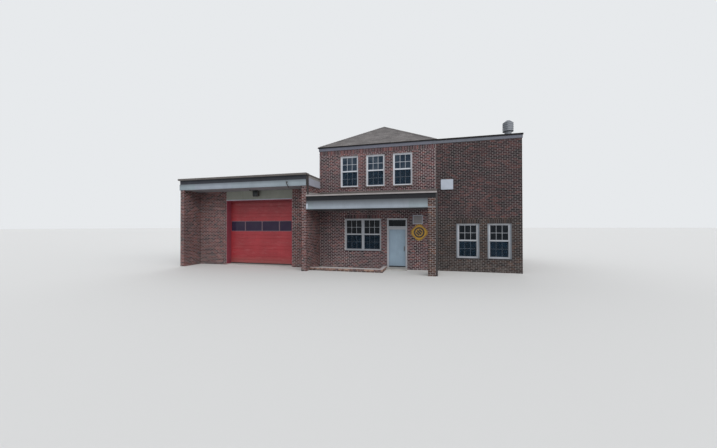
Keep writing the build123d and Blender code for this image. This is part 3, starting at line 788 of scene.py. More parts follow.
def cut_out(rects, hole):
    """What is left of rectangles round a hole: the stretches left and right of it at full height, and those
    below and above it."""
    u0, u1, z0, z1 = rects.T
    a, b, c, d = hole
    apart = (u1 <= a) | (u0 >= b) | (z1 <= c) | (z0 >= d)
    hit = rects[~apart]
    left, right, below, above = hit.copy(), hit.copy(), hit.copy(), hit.copy()
    left[:, 1] = a
    right[:, 0] = b
    for part in (below, above):
        part[:, 0] = np.maximum(part[:, 0], a)
        part[:, 1] = np.minimum(part[:, 1], b)
    below[:, 3] = c
    above[:, 2] = d
    return wide_enough(np.vstack([rects[apart], left, right, below, above]))


def running_bond(u0, u1, z0, z1, holes=(), shift=0.0):
    """Rectangles of bricks in running bond, cut to the span: brick i of course k starts at
    u = shift + i * pitch + (k mod 2) * pitch / 2."""
    s = sizes()
    pitch = s.brick_length + s.joint
    rise = s.brick_height + s.bed_joint
    courses = np.arange(math.floor(z0 / rise), math.ceil(z1 / rise))
    columns = np.arange(math.floor((u0 - shift) / pitch) - 1, math.ceil((u1 - shift) / pitch) + 1)
    k, i = np.meshgrid(courses, columns, indexing="ij")
    start = shift + (i + 0.5 * (k % 2)) * pitch
    low = k * rise + s.bed_joint / 2
    rects = np.stack([start, start + s.brick_length, low, low + s.brick_height], -1).reshape(-1, 4)
    rects[:, [0, 2]] = np.maximum(rects[:, [0, 2]], (u0, z0))
    rects[:, [1, 3]] = np.minimum(rects[:, [1, 3]], (u1, z1))
    rects = wide_enough(rects)
    for hole in holes:
        rects = cut_out(rects, hole)
    return rects


def soldiers(u0, u1, z0, z1):
    """Upright bricks side by side that fill a rectangle of the face evenly."""
    s = sizes()
    gap = s.bed_joint
    count = max(1, round((u1 - u0) / (s.brick_height + gap)))
    pitch = (u1 - u0) / count
    start = u0 + pitch * np.arange(count) + gap / 2
    low = np.full(count, z0 + gap / 2)
    return np.stack([start, start + pitch - gap, low, low + (z1 - z0) - gap], -1)


def grown(rectangle, by):
    """A rectangle with a margin all round."""
    u0, u1, z0, z1 = rectangle
    return u0 - by, u1 + by, z0 - by, z1 + by


def plain(facade, u0, u1, top, low=0.0, proud=None, shift=0.0):
    """Work for lay: running bond without holes."""
    return facade, running_bond(u0, u1, low, top, shift=shift), sizes().proud if proud is None else proud


def windowed(facade, span, openings, headed=None, courses=(), holes=()):
    """Work for lay: running bond over the span, round its openings and holes, and soldiers over the headed
    openings, which are all where none are named, and in each of the courses."""
    s = sizes()
    edge = s.joint / 2
    over = openings if headed is None else headed
    tall = s.brick_length + s.joint
    heads = [(u0 - edge, u1 + edge, z1, z1 + tall) for u0, u1, z0, z1 in over] + list(courses)
    cut = [grown(opening, edge) for opening in openings] + heads + list(holes)
    bricks = [running_bond(*span, cut)] + [soldiers(*head) for head in heads]
    return [(facade, rects, s.proud) for rects in bricks]


def lay(name, work, finish, seed_shift):
    """One mesh of bricks from rows of (facade, rectangles, proud), with a tone for each brick."""
    rng = np.random.default_rng(sizes().seed + seed_shift)
    lo, hi = stacked([facade.blocks(rects, proud + rng.uniform(-BRICK_WOBBLE, BRICK_WOBBLE, len(rects)))
                      for facade, rects, proud in work])
    tone = rng.beta(*TONE_SPREAD, len(lo)) + np.where(rng.random(len(lo)) < BURNT_SHARE, BURNT_STEP, 0.0)
    piece(name, cuboids(lo, hi), finish, tone=np.clip(tone, 0, 1))


class STATION_OT_brickwork(bpy.types.Operator):
    """Lay the bricks of every outside wall, round its windows and doors"""
    bl_idname = "station.brickwork"
    bl_label = "Brickwork"

    def execute(self, context):
        self.house()
        self.annexe()
        self.back()
        self.garage()
        self.pier_and_planter()
        return {"FINISHED"}

    def house(self):
        """The house's front, with soldiers over the porch window and under the eaves."""
        s = sizes()
        lower, flashing, roof = box("house_front_wall_lower"), box("porch_flashing"), box("porch_roof")
        door = box("entrance_frame")
        left, right = lower[0][0], box("house_front_wall_upper")[1][0] - s.joint / 2
        eave = box("main_fascia")[0][2]
        frames = islands("front_window_frames")
        above = [rect(b) for b in frames if b[0][2] > flashing[1][2]]
        porch = [rect(b) for b in frames if b[1][2] < flashing[0][2] and b[1][0] < door[0][0]]
        course = (left, right, eave - (s.brick_length + s.joint), eave)
        holes = [grown(rect(b), s.joint / 2) for b in islands("upper_window_sills")]
        holes.append((roof[0][0], flashing[1][0], roof[0][2] + ROOF_BAND, flashing[1][2]))
        work = windowed(Facade(0, lower[0][1], -1), (left, right, 0, eave), above + porch + [rect(door)],
                        porch, [course], holes)
        lay("house_bricks", work, "brick", 1)

    def annexe(self):
        """The annexe's front, with browner bricks round its two windows, and its right side."""
        s = sizes()
        wall, right, back = box("annexe_front_wall"), box("annexe_right_wall"), box("back_wall")
        eave = box("main_fascia")[0][2]
        front = Facade(0, box("house_front_wall_lower")[0][1], -1)
        rise = s.brick_height + s.bed_joint
        level = round(INFILL_TOP / rise) * rise
        u0, u1 = wall[0][0] + s.joint / 2, wall[1][0] + s.proud
        casings = [rect(b) for b in casing_openings()]
        lay("annexe_infill_bricks", windowed(front, (u0, u1, 0, level), casings), "brick_infill", 6)
        windows = [rect(b, 1) for b in islands("side_and_back_window_frames") if b[0][0] > right[0][0]]
        span = (wall[0][1] - s.proud, back[1][1] + s.proud, 0, eave)
        work = [plain(front, u0, u1, eave, level)] + windowed(Facade(1, right[1][0], 1), span, windows)
        lay("annexe_bricks", work, "brick_annexe", 2)

    def back(self):
        """The house's back, and its left side above the engine bay."""
        proud = sizes().proud
        back, eave = box("back_wall"), box("main_fascia")[0][2]
        windows = [rect(b) for b in islands("side_and_back_window_frames") if b[0][1] > back[0][1]]
        work = windowed(Facade(0, back[1][1], 1), (back[0][0], back[1][0] + proud, 0, eave), windows)
        side = Facade(1, box("house_left_wall")[0][0], -1)
        front, above = box("house_front_wall_lower")[0][1], box("garage_drip_edge")[1][2]
        work.append(plain(side, front - proud, back[1][1] + proud, eave, above))
        lay("back_bricks", work, "brick", 3)

    def garage(self):
        """Side, back and recess bricks of the engine bay."""
        proud = sizes().proud
        west, east = islands("garage_side_walls")
        rear = box("garage_back_wall")
        recess = islands("garage_front_wall")
        recess_face, far = recess[0][0][1], rear[1][1]
        board, ceiling = box("garage_fascia")[0][2], box("soffits")[1][2] - SOFFIT_OVERLAP
        work = []
        for wall, inner, outward in ((west, 1, 1), (east, 0, -1)):
            work.append(plain(Facade(0, wall[0][1], -1), wall[0][0] - proud, wall[1][0] + proud, board))
            work.append(plain(Facade(1, wall[inner][0], outward), wall[0][1] - proud, recess_face, ceiling))
        work.append(plain(Facade(1, west[0][0], -1), west[0][1] - proud, far, board))
        outside = Facade(1, east[1][0], 1)
        return_foot = min(b[0][2] for b in islands("garage_fascia") if b[0][0] > east[0][0])
        roof_edge = box("garage_drip_edge")[0][2]
        work.append(plain(outside, east[0][1] - proud, box("house_front_wall_lower")[0][1], return_foot))
        work.append(plain(outside, box("back_wall")[1][1], far, roof_edge))
        work.append(plain(Facade(0, far, 1), rear[0][0], rear[1][0], roof_edge, proud=proud * 0.5))
        for wall in recess:
            work.append(plain(Facade(0, recess_face, -1), wall[0][0] + proud, wall[1][0] - proud,
                              box("garage_lintel")[0][2]))
        lay("garage_bricks", work, "brick_garage", 4)

    def pier_and_planter(self):
        """The porch's pier on all four sides, the planter with its rowlock course, and the upper sills."""
        s = sizes()
        edge, proud = s.joint / 2, s.proud
        pier, board, planter = box("porch_pier"), box("porch_fascia"), box("planter_wall")
        work, rowlock = [], []
        for axis, u0, u1 in ((0, pier[0][0] - proud, pier[1][0]), (1, pier[0][1] + edge, pier[1][1] - edge)):
            for side, outward in ((0, -1), (1, 1)):
                top = board[0][2] if axis or side else board[1][2]
                work.append(plain(Facade(axis, pier[side][1 - axis], outward), u0, u1, top, shift=u0))
        top = planter[1][2]
        cap = top - (s.brick_height + s.bed_joint)
        for facade, u0, u1 in ((Facade(0, planter[0][1], -1), planter[0][0], planter[1][0] + proud),
                               (Facade(1, planter[1][0], 1), planter[0][1] + edge, planter[1][1])):
            work.append(plain(facade, u0, u1, cap))
            rowlock.append((facade, soldiers(u0, u1, cap, top), proud + ROWLOCK_STEP))
        for sill in islands("upper_window_sills"):
            work.append((Facade(0, sill[0][1], -1), soldiers(*rect(sill)), SILL_PROUD))
        lay("pier_and_planter_bricks", work, "brick_pier", 5)
        lay("planter_rowlock_bricks", rowlock, "brick_rowlock", 8)


# Windows

def long_axis(b):
    """0 and 1 for a box that is longer in X than in Y, otherwise 1 and 0: the axes along and across it."""
    return (0, 1) if b[1][0] - b[0][0] > b[1][1] - b[0][1] else (1, 0)


def sash_bars(panes):
    """Bars over panes of glass: each is cut into even columns and rows."""
    half = sizes().bar_width / 2
    lo, hi = [], []
    for a, b in panes:
        along, across = long_axis((a, b))
        middle = (a[across] + b[across]) / 2
        kinds = ((along, SASH_COLUMNS, HALF_BAR_DEPTH), (2, SASH_ROWS, HALF_BAR_DEPTH * LEVEL_BAR_SHARE))
        for axis, count, deep in kinds:
            for place in a[axis] + (b[axis] - a[axis]) * np.arange(1, count) / count:
                low, high = a.copy(), b.copy()
                low[axis], high[axis] = place - half, place + half
                low[across], high[across] = middle - deep, middle + deep
                lo.append(low)
                hi.append(high)
    return cuboids(lo, hi)


def sash_pairs(panes):
    """Each upper pane with the lower pane of its window."""
    return [(upper, lower) for upper in panes for lower in panes
            if 0 < upper[0][2] - lower[1][2] < SASH_GAP
            and np.abs(upper[0][:2] - lower[0][:2]).max() < SASH_SHIFT]


def meeting_lip(upper, lower):
    """A moulding on the rail where two sashes meet: its outline carried along the foot of the upper pane."""
    lip = [(0, 0), (0.013, 0), (0.013, 0.029), (0.006, 0.035), (0, 0.035)]
    along, across = long_axis(upper)
    outward = np.sign(upper[0][across] - lower[0][across])
    start, end, side = upper[0].copy(), upper[0].copy(), np.zeros(3)
    start[across] = end[across] = upper[0][across] if outward < 0 else upper[1][across]
    end[along] = upper[1][along]
    side[across] = outward
    return carried(lip, start, end, side, UP)


class STATION_OT_windows(bpy.types.Operator):
    """Add the bars of all windows, the screens, rail lips and transom cover, and sill noses under the annexe
    and porch windows
    """
    bl_idname = "station.windows"
    bl_label = "Window bars and sills"

    def execute(self, context):
        front, others = islands("front_window_glass"), islands("side_and_back_window_glass")
        piece("front_window_bars", sash_bars(front), "white")
        piece("side_and_back_window_bars", sash_bars(others), "white")
        pairs = sash_pairs(front)
        self.screens([lower for upper, lower in pairs])
        self.sill_noses()
        pairs += sash_pairs(others)
        piece("meeting_rail_lips", [meeting_lip(*pair) for pair in pairs], "white")
        lo, hi = box("transom_glass")
        cover = [(0, 0), (0.035, 0), (0.035, 0.008), (0.056, 0.008), (0.056, 0.068), (0.048, 0.075),
                 (0, 0.075)]
        piece("transom_rail_cover", level_run(cover, lo[0], hi[0], lo[1], lo[2]), "white")
        return {"FINISHED"}

    def screens(self, panes):
        """Netting before the lower panes of the front windows."""
        margin, before, netting = 0.004, 0.045, 0.002
        lo = [a - [margin, before, margin] for a, b in panes]
        hi = [[b[0] + margin, a[1] - before + netting, b[2] + margin] for a, b in panes]
        piece("lower_sash_screens", cuboids(lo, hi), "screen")

    def sill_noses(self):
        """Level boards under the windows of the annexe and the porch."""
        nose, deep, thick, slack = 0.022, 0.03, 0.035, 0.002
        porch, plane = box("porch_roof"), box("annexe_front_wall")[0][1]
        frames = islands("front_window_frames")
        openings = casing_openings()
        openings += [b for b in frames if b[1][2] < porch[0][2] and b[1][0] < porch[1][0]]
        lo = [[a[0] - nose, plane - deep, a[2] - thick] for a, b in openings]
        hi = [[b[0] + nose, plane + slack, a[2] - slack] for a, b in openings]
        piece("lower_window_sill_noses", cuboids(lo, hi), "sill")


# Roofs

class STATION_OT_shingles(bpy.types.Operator):
    """Shingle the four slopes of the hip roof and cap its hips and ridge"""
    bl_idname = "station.shingles"
    bl_label = "Shingles"

    def execute(self, context):
        rng = np.random.default_rng(sizes().seed + 20)
        lo, hi = box("hip_roof")
        eave, half = lo[2] + ROOF_EDGE, (hi[0] - lo[0]) / 2
        self.tabs(lo, hi, half, eave, hi[2] - eave, rng)
        self.caps(lo, hi, half, eave, hi[2] - eave, rng)
        return {"FINISHED"}

    def tabs(self, lo, hi, half, eave, rise, rng):
        """Rows of tabs up each slope. Tab i of row k starts at (i + (k mod 2) / 2 + ROW_SHIFT * (k mod 3))
        widths from the slope's middle, is cut at the hips, and is tilted so that its foot lies on the row
        below."""
        s = sizes()
        slope = math.hypot(half, rise)
        rows = np.arange(0, slope - 0.02, s.shingle_exposure)
        blocks = []
        for along in ((1, 0), (0, 1), (-1, 0), (0, -1)):
            run, inward = np.array([*along, 0.0]), np.array([-along[1], along[0], 0.0])
            up = (inward * half + (0, 0, rise)) / slope
            normal = np.cross(run, up)
            span = abs(run @ (hi - lo))
            base = (lo + hi) / 2 - inward * abs(inward @ (hi - lo)) / 2
            base[2] = eave
            count = int(span / s.shingle_width) + 2
            k, i = np.meshgrid(np.arange(len(rows)), np.arange(-count, count), indexing="ij")
            start = i + 0.5 * (k % 2) + ROW_SHIFT * (k % 3)
            left = start * s.shingle_width + rng.uniform(-0.004, 0.004, k.shape)
            right = left + s.shingle_width - SHINGLE_GAP
            row = rows[k]
            limit = span / 2 - (row + 0.5 * s.shingle_exposure) * half / slope
            left, right = np.maximum(left, -limit), np.minimum(right, limit)
            keep = (right - left) > LEAST_TAB
            left, right, row = left[keep][:, None], right[keep][:, None], row[keep][:, None]
            tail = np.minimum(s.shingle_exposure * SHINGLE_LAP, slope - row)
            drop = rng.uniform(0.0, 0.005, row.shape)
            lift = SHINGLE_LIFT + rng.uniform(0, 0.003, row.shape)
            origin = base + left * run + (row - drop) * up + (0.001 + lift - SHINGLE_THICK) * normal
            upwards = (tail + drop) * up - (lift - 0.004) * normal
            thick = np.broadcast_to(SHINGLE_THICK * normal, origin.shape)
            blocks.append((origin, (right - left) * run, upwards, thick))
        parts = stacked(blocks)
        tone = np.clip(rng.normal(0.5, 0.2, len(parts[0])), 0, 1)
        piece("roof_shingles", tilted_cuboids(*parts), "shingle", tone=tone)

    def caps(self, lo, hi, half, eave, rise, rng):
        """Bent cap shingles up the four hips and along the ridge: two thin plates that meet on the line."""
        step = sizes().shingle_exposure
        front, back = (np.array([lo[0] + half, y, eave + rise]) for y in (lo[1] + half, hi[1] - half))
        lines = [(np.array([x, y, eave]), end) for y, end in ((lo[1], front), (hi[1], back))
                 for x in (lo[0], hi[0])]
        blocks = []
        for start, end in lines + [(front, back)]:
            reach = np.linalg.norm(end - start)
            line = (end - start) / reach
            sideways = np.cross(UP, line)
            sideways /= np.linalg.norm(sideways)
            fall = rise / half * (math.sqrt(0.5) if abs(line[2]) > 1e-6 else 1.0)
            places = np.arange(0, reach - step, step)[:, None]
            upwards = line * step * SHINGLE_LAP - (0, 0, 0.006)
            for sign in (1.0, -1.0):
                wing = sign * sideways * CAP_WING - (0, 0, CAP_WING * fall)
                first = start + places * line + (CAP_LIFT + rng.uniform(0, 0.003, places.shape)) * UP
                edges = (upwards, wing) if sign > 0 else (wing, upwards)
                thick = (0, 0, SHINGLE_THICK)
                blocks.append([np.broadcast_to(part, first.shape) for part in (first, *edges, thick)])
        parts = stacked(blocks)
        tone = np.clip(rng.normal(0.45, 0.15, len(parts[0])), 0, 1)
        piece("hip_cap_shingles", tilted_cuboids(*parts), "shingle", tone=tone)


class STATION_OT_trim(bpy.types.Operator):
    """Add the edge trims, soffit boards, roofing sheets and corner flashings"""
    bl_idname = "station.trim"
    bl_label = "Trim and roof sheets"

    def execute(self, context):
        self.board_edges()
        self.soffit_boards()
        self.roofing()
        self.flashings()
        return {"FINISHED"}

    def board_edges(self):
        """Beads along the foot of the pale boards, a strip on the header and a lip under each roof edge."""
        angle = np.linspace(0, 2 * math.pi, 12, endpoint=False)
        bead = 0.016 * np.stack([np.cos(angle), np.sin(angle)], -1)
        beads = [level_run(bead, lo[0] + 0.01, hi[0] - 0.01, lo[1], lo[2] + 0.012, (0, 1, 0))
                 for lo, hi in (box("garage_fascia"), box("porch_fascia"))]
        piece("fascia_beads", beads, "fascia")
        lo, hi = box("garage_header_panel")
        strip = [(0, 0), (0.022, 0), (0.022, 0.03), (0.012, 0.045), (0, 0.045)]
        piece("header_trim", level_run(strip, lo[0], hi[0], lo[1], lo[2]), "panel")
        lips = []
        all_sides = ((0, 0), (0, 1), (1, 1), (1, 0), (0, 0))
        three_sides = ((0, 0), (1, 0), (1, 1), (0, 1))
        for node, low, high, corners in (("hip_roof", -0.012, 0.046, all_sides),
                                         ("annexe_coping", -0.030, 0.050, three_sides)):
            lip = [(-0.001, low), (0.003, low), (0.005, low + 0.006), (0.005, high), (-0.001, high)]
            lips += edge_lips(lip, box(node), corners)
        piece("eave_drip_edge", lips, "edge")

    def soffit_boards(self):
        """Boards under both soffits, laid side by side from front to back."""
        width, gap, thick, inset = 0.14, 0.006, 0.008, 0.012
        groups = []
        for a, b in islands("soffits"):
            starts = np.arange(a[1] + 0.01, b[1] - width, width + gap)
            groups.append(cuboids(points_at(a[0] + inset, starts, a[2] - thick),
                                  points_at(b[0] - inset, starts + width, a[2])))
        piece("soffit_boards", groups, "soffit")

    def roofing(self):
        """Overlapping sheets of roofing: thin plates, lower at the edge that slips under the next one."""
        for name, node, inset in (("garage_roof_sheets", "garage_roof", 0.10),
                                  ("annexe_roof_sheets", "annexe_roof", 0.0)):
            lo, hi = box(node)
            starts = np.arange(lo[1] + inset, hi[1] - inset - SHEET_LAP, SHEET_WIDTH)
            ends = np.minimum(starts + SHEET_WIDTH + SHEET_LAP, hi[1] - inset)
            corners = points_at(lo[0] + inset, starts, hi[2] - SHEET_THICK * 0.5)
            across, back = (hi[0] - lo[0] - 2 * inset, 0, 0), points_at(0, ends - starts, -SHEET_THICK)
            sheets = tilted_cuboids(corners, across, back, (0, 0, SHEET_THICK * 1.8))
            piece(name, sheets, "gravel")
        lo, hi = box("porch_roof")
        level = box("porch_drip_edge")[1][2]
        deep, covered = hi[1] - lo[1], hi[1] - lo[1] - 0.03
        starts = np.arange(lo[0] + 0.01, hi[0] - SHEET_LAP, PORCH_SHEET_WIDTH)
        ends = np.minimum(starts + PORCH_SHEET_WIDTH + SHEET_LAP, hi[0] - 0.005)
        overlap = 0.001 + 0.003 * (np.arange(len(starts)) % 2)
        corners = points_at(starts, lo[1] + 0.01, level + overlap)
        across, back = points_at(ends - starts, 0, 0), (0, covered, (hi[2] - level) * covered / deep)
        sheets = tilted_cuboids(corners, across, back, (0, 0, SHEET_THICK))
        piece("porch_roof_sheets", sheets, "felt")

    def flashings(self):
        """White apron up the engine bay's wall at the end of the porch roof, the cover and the corner angle
        of the bay's return board, and the small cap at the porch board's end."""
        drip, roof = box("porch_drip_edge"), box("porch_roof")
        x = box("garage_side_walls")[1][0]
        front, foot = drip[0][1] + 0.06, drip[1][2]
        deep, rise = roof[1][1] - 0.02 - front, roof[1][2] - foot
        outline = [(0, 0), (deep, rise), (deep, rise + 0.03), (0, APRON_TOP - foot)]
        apron = level_run(outline, x + 0.008, x + 0.022, front, foot + 0.002, (0, 1, 0))
        piece("porch_side_flashing", apron, "white_drip")
        lo, hi = max(islands("garage_fascia"), key=lambda b: b[1][0])
        high = hi[2] - lo[2]
        bend = min(islands("downspouts"), key=lambda b: b[0][0])[0][1] + 0.01
        # The cover carries the paler return paint, painted light on the bay's side face.
        cover = [(-0.002, 0), (0.014, 0), (0.017, 0.012), (0.014, 0.024), (0.010, 0.030),
                 (0.010, high - 0.030), (0.014, high - 0.024), (0.014, high), (-0.002, high)]
        run = carried(cover, (hi[0], bend, lo[2]), (hi[0], hi[1] - 0.012, lo[2]), (1, 0, 0), UP)
        piece("return_board_cover", run, "return")
        angle = [(-0.055, -0.003), (0.003, -0.003), (0.003, bend - lo[1]), (-0.001, bend - lo[1]),
                 (-0.001, 0.001), (-0.055, 0.001)]
        top = box("garage_drip_edge")[0][2]
        run = carried(angle, (hi[0], lo[1], lo[2] - 0.004), (hi[0], lo[1], top), (1, 0, 0), (0, 1, 0))
        piece("fascia_corner_angle", run, "dark_metal")
        place = box("porch_fascia")[0] + [0.05, 0, 0.16]
        cap = pressed(rounded(0.09, 0.26, 0.012), [(1, 0), (1, 0.014), (0.94, 0.02)], place)
        piece("fascia_end_cap", cap, "panel")


# Fittings

class STATION_OT_fittings(bpy.types.Operator):
    """Add the lamps, plates, sign figure, bracket and pipe clips"""
    bl_idname = "station.fittings"
    bl_label = "Fittings"

    def execute(self, context):
        self.bay_lamp()
        self.sign()
        self.plates()
        self.small_lamps()
        self.pipe_clips()
        self.bracket()
        return {"FINISHED"}

    def bay_lamp(self):
        """Lens, bezel, hood and fins on the lamp over the bay door."""
        lo, hi = box("bay_lamp")
        middle, wide, high = front_of((lo, hi))
        bezel = rim(rounded(wide, high, 0.07), rounded(wide * 0.82, high * 0.82, 0.05), -0.01, 0.022, middle)
        piece("bay_lamp_bezel", bezel, "dark_metal")
        rings = [(1, 0.0), (1, 0.004), (0.85, 0.014), (0.55, 0.022), (0.2, 0.026)]
        lens = pressed(rounded(wide * 0.84, high * 0.84, 0.05), rings, middle)
        piece("bay_lamp_lens", lens, "lens")
        outline = [(0, 0), (0.10, -0.045), (0.10, -0.041), (0, 0.006)]
        hood = level_run(outline, lo[0] - 0.004, hi[0] + 0.004, lo[1] - 0.02, hi[2])
        piece("bay_lamp_hood", hood, "dark_metal")
        x = np.linspace(lo[0] + 0.08, hi[0] - 0.08, 7)
        fins = cuboids(points_at(x - 0.003, lo[1] + 0.06, lo[2] + 0.03),
                       points_at(x + 0.003, hi[1], hi[2] - 0.015))
        piece("bay_lamp_fins", fins, "dark_metal")

    def sign(self):
        """Dark border and a plain ring with slanted bars on the yellow plate, and its four screws."""
        middle, wide = front_of(box("yellow_sign"))[:2]
        corner, low, top = 0.22, -0.001, 0.0025
        side = wide / math.sqrt(2) + corner * (2 - math.sqrt(2))
        r = math.sqrt(0.5)
        across, up = np.array([r, 0, r]), np.array([-r, 0, r])
        turn = (across, up, OUT)
        outer, inner = (rounded(side * share, side * share, corner * share) for share in (0.94, 0.90))
        ring, hole = rounded(0.56, 0.56, 0.2799, 12), rounded(0.40, 0.40, 0.1999, 12)
        groups = [rim(outer, inner, low, top, middle, turn), rim(ring, hole, low, top, middle, turn)]
        for shift, tall in ((-0.105, 0.22), (0.0, 0.30), (0.105, 0.22)):
            bar = rounded(0.082, tall, 0.014)
            groups.append(pressed(bar, [(1, low), (1, top)], middle + shift * across, turn))
        piece("sign_figure", groups, "black")
        reach = side / 2 * 0.80
        places = [middle + reach * (a * across + b * up) for a in (-1, 1) for b in (-1, 1)]
        screws("sign_screws", places, 0.011)

    def plates(self):
        """Pressed covers and rims on the two wall plates."""
        notice, large = sorted(islands("wall_panels"), key=lambda b: b[0][2])
        middle, wide, high = front_of(large)
        rings = [(1, -0.02), (1, 0.004), (0.985, 0.012), (0.955, 0.014), (0.945, 0.010), (0.2, 0.010)]
        cover = pressed(rounded(wide * 1.03, high * 1.03, 0.035), rings, middle)
        piece("wall_box_cover", cover, "panel")
        places = [middle + [a * wide * 0.43, -0.011, b * high * 0.42] for a in (-1, 1) for b in (-1, 1)]
        screws("wall_box_screws", places, 0.008)
        middle, wide, high = front_of(notice)
        face = pressed(rounded(wide * 0.90, high * 0.90, 0.01), [(1, -0.002), (1, 0.003)], middle)
        piece("notice_face", face, "notice")
        edge = rim(rounded(wide + 0.01, high + 0.01, 0.02), rounded(wide * 0.9, high * 0.9, 0.012),
                   -0.01, 0.010, middle)
        piece("notice_rim", edge, "panel")

    def small_lamps(self):
        """The round lamp under the porch ceiling and the small dome under the bay's soffit."""
        porch, bay = sorted(islands("soffits"), key=lambda b: b[0][2])
        lamp = np.array([(0, -0.115), (0.05, -0.110), (0.095, -0.085), (0.115, -0.045), (0.118, -0.03),
                         (0.135, -0.03), (0.14, -0.015), (0.14, 0.0), (0, 0.0)])
        groups = []
        for place, board, scale in ((PORCH_LAMP, porch, 0.9), (SOFFIT_LAMP, bay, 0.45)):
            points, faces = turned(lamp * scale, 28)
            groups.append((points + [*place, board[0][2] - 0.006], faces))
        piece("ceiling_lamps", groups, "dark_metal", smooth=True)

    def pipe_clips(self):
        """Three clips round each rain pipe."""
        grow, half = 0.008, 0.018
        groups = []
        for a, b in islands("downspouts"):
            levels = np.linspace(a[2] + 0.45, b[2] - 0.35, 3)
            groups.append(cuboids(points_at(a[0] - grow, a[1] - grow, levels - half),
                                  points_at(b[0] + grow, b[1] + 0.02, levels + half)))
        piece("pipe_clips", groups, "dark_metal")

    def bracket(self):
        """The bracket of bent bar on the bay's fascia, with the plate at its upper end."""
        face = box("garage_fascia")[0][1]
        path = [(-2.374, 0.0, 4.66), (-2.374, -0.05, 4.665), (-2.370, -0.085, 4.655), (-2.350, -0.09, 4.60),
                (-2.300, -0.075, 4.48), (-2.262, -0.05, 4.41), (-2.257, -0.02, 4.395), (-2.257, 0.004, 4.392)]
        path = np.array(path) + [0, face, 0]
        foot = pressed(rounded(0.07, 0.09, 0.015), [(1, 0), (1, 0.006)], path[0])
        piece("fascia_bracket", [tube(path, 0.022, 12), foot], "dark_metal")


class STATION_OT_doors(bpy.types.Operator):
    """Add the seals, sweep and lock plates of both doors"""
    bl_idname = "station.doors"
    bl_label = "Door fittings"

    def execute(self, context):
        self.entrance()
        self.bay_seals()
        self.bay_panes()
        return {"FINISHED"}

    def entrance(self):
        """Sweep and lock plate with its cylinder, which ride on the leaf, and the threshold."""
        lo, hi = box("entrance_door")
        outline = [(0, 0), (0.010, 0), (0.014, 0.012), (0.012, 0.055), (0, 0.055)]
        sweep = level_run(outline, lo[0] + 0.012, hi[0] - 0.012, lo[1], lo[2] + 0.004)
        piece("door_sweep", sweep, "rubber", DOOR_BODY)
        x = hi[0] - 0.075
        rings = [(1, 0), (1, 0.004), (0.92, 0.006)]
        plate = pressed(rounded(0.055, 0.26, 0.02), rings, (x, lo[1], lo[2] + 1.00))
        profile = [(0, -0.012), (0.020, -0.012), (0.022, -0.006), (0.024, 0.004), (0, 0.004)]
        points, faces = turned(profile, 20)
        points = points[:, [0, 2, 1]] + [x, lo[1] - 0.004, lo[2] + 1.075]
        cylinder = (points, [face[::-1] for face in faces])
        piece("lock_plate", [plate, cylinder], "steel", DOOR_BODY)
        lo, hi = box("entrance_frame")
        outline = [(0, 0), (0.13, 0), (0.13, 0.006), (0.10, 0.016), (0.03, 0.016), (0, 0.006)]
        sill = level_run(outline, lo[0] + 0.05, hi[0] - 0.05, lo[1] + 0.012, lo[2], (0, 1, 0))
        piece("door_threshold", sill, "steel")

    def bay_seals(self):
        """Rubber along the foot of the bay door and strips at its sides."""
        door, lining = box("garage_door"), box("garage_door_frame")
        left, right, y, wide = lining[0][0] + 0.03, lining[1][0] - 0.03, lining[1][1] - 0.002, 0.022
        seal = [(0, 0), (0.03, 0), (0.034, 0.02), (0.03, 0.055), (0, 0.055)]
        piece("bay_door_bottom_seal", level_run(seal, left, right, y, door[0][2]), "rubber")
        x = np.array([left, right - wide])
        strips = cuboids(points_at(x, y - 0.02, door[0][2]), points_at(x + wide, y, door[1][2] - 0.04))
        piece("bay_door_side_seals", strips, "bay_door")

    def bay_panes(self):
        """Metal beads round the four panes of the bay door."""
        beads = []
        for pane in islands("garage_door_glass"):
            middle, wide, high = front_of(pane)
            middle[1] = box("garage_door")[0][1]
            outer = rounded(wide + 0.040, high + 0.040, 0.03)
            inner = rounded(wide - 0.012, high - 0.012, 0.02)
            beads.append(rim(outer, inner, -0.004, 0.006, middle))
        piece("bay_pane_beads", beads, "bead")


# Stage

def soft_sun(name, turn, spread, strength, colour):
    """A sun whose wide disc gives soft shadows; turn is its tilt and heading in degrees."""
    lamp = bpy.data.lights.new(name, "SUN")
    lamp.angle = math.radians(spread)
    lamp.energy = strength
    lamp.color = colour
    placed(name, lamp).rotation_euler = Euler([math.radians(a) for a in turn], "XYZ")


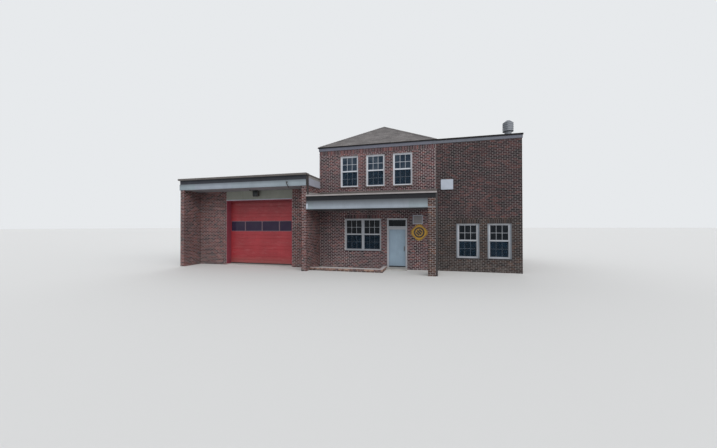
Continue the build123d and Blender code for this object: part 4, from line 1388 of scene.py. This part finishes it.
class STATION_OT_stage(bpy.types.Operator):
    """Set the pale floor, the plain backdrop, soft light and the camera"""
    bl_idname = "station.stage"
    bl_label = "Stage"

    def execute(self, context):
        scene = bpy.context.scene
        scene.view_settings.view_transform = "Standard"
        self.floor()
        self.world(scene)
        soft_sun("key", (50, 0, 24), 60, 1.68, (1.0, 0.985, 0.97))
        soft_sun("back_fill", (55, 0, 200), 60, 0.8, (0.95, 0.97, 1.0))
        soft_sun("side_fill", (73, 0, 80), 50, 0.8, (1.0, 0.98, 0.97))
        data = bpy.data.cameras.new("photo_camera")
        data.sensor_width = SENSOR
        data.lens = FOCAL_PIXELS / IMAGE_WIDTH * SENSOR
        data.clip_end = CLIP_END
        camera = placed("photo_camera", data)
        camera.location = CAMERA_PLACE
        turn = Euler((math.radians(90 + CAMERA_PITCH), 0, math.radians(CAMERA_YAW)), "XYZ").to_matrix()
        roll = Euler((0, 0, math.radians(-CAMERA_ROLL)), "XYZ").to_matrix()
        camera.rotation_euler = (turn @ roll).to_euler()
        scene.camera = camera
        return {"FINISHED"}

    def floor(self):
        """A wide pale plane at the building's foot."""
        mesh = bpy.data.meshes.new("studio_floor")
        corners = [(x * FLOOR_REACH, y * FLOOR_REACH, 0) for x, y in ((-1, -1), (1, -1), (1, 1), (-1, 1))]
        mesh.from_pydata(corners, [], [(0, 1, 2, 3)])
        finish = Finish(0.9)
        finish.base = (0.62, 0.62, 0.61)
        mesh.materials.append(finish.done())
        placed("studio_floor", mesh)

    def world(self, scene):
        """Even pale light, and a paler plain backdrop where the camera looks at it."""
        world = bpy.data.worlds.new("studio")
        scene.world = world
        world.use_nodes = True
        tree = world.node_tree
        tree.nodes.clear()
        path, lit, seen, clear, both, mix, out = (tree.nodes.new("ShaderNode" + kind) for kind in (
            "LightPath", "Background", "Background", "Math", "Math", "MixShader", "OutputWorld"))
        clear.operation = both.operation = "MAXIMUM"
        for shader, colour, strength in ((lit, (0.92, 0.95, 1.0), 0.62), (seen, (0.80, 0.82, 0.84), 1.0)):
            shader.inputs["Color"].default_value = (*colour, 1)
            shader.inputs["Strength"].default_value = strength
        links = ((path, "Is Camera Ray", clear, 0), (path, "Is Glossy Ray", clear, 1), (clear, 0, both, 0),
                 (path, "Is Transmission Ray", both, 1), (both, 0, mix, 0), (lit, 0, mix, 1),
                 (seen, 0, mix, 2), (mix, 0, out, 0))
        for source, output, target, entry in links:
            tree.links.new(source.outputs[output], target.inputs[entry])


class STATION_PT_panel(bpy.types.Panel):
    """Buttons and sizes of the station"""
    bl_idname = "STATION_PT_panel"
    bl_label = "Fire station"
    bl_space_type = "VIEW_3D"
    bl_region_type = "UI"
    bl_category = "Station"

    def draw(self, context):
        for group in (context.scene.station_sizes, context.scene.station_colours):
            column = self.layout.column(align=True)
            for name in group.__annotations__:
                column.prop(group, name)
        for operator in OPERATORS:
            self.layout.operator(operator.bl_idname)


OPERATORS = (STATION_OT_finishes, STATION_OT_brickwork, STATION_OT_windows, STATION_OT_shingles,
             STATION_OT_trim, STATION_OT_fittings, STATION_OT_doors, STATION_OT_stage)
CLASSES = (StationSizes, StationColours, *OPERATORS, STATION_PT_panel)


def register():
    """Add the classes, and the settings to every scene."""
    for cls in CLASSES:
        bpy.utils.register_class(cls)
    bpy.types.Scene.station_sizes = PointerProperty(type=StationSizes)
    bpy.types.Scene.station_colours = PointerProperty(type=StationColours)


def unregister():
    """Take them away again."""
    del bpy.types.Scene.station_colours
    del bpy.types.Scene.station_sizes
    for cls in reversed(CLASSES):
        bpy.utils.unregister_class(cls)


def main():
    """Run every operator in order."""
    register()
    for operator in OPERATORS:
        group, name = operator.bl_idname.split(".")
        getattr(getattr(bpy.ops, group), name)()


if __name__ == "__main__":
    main()
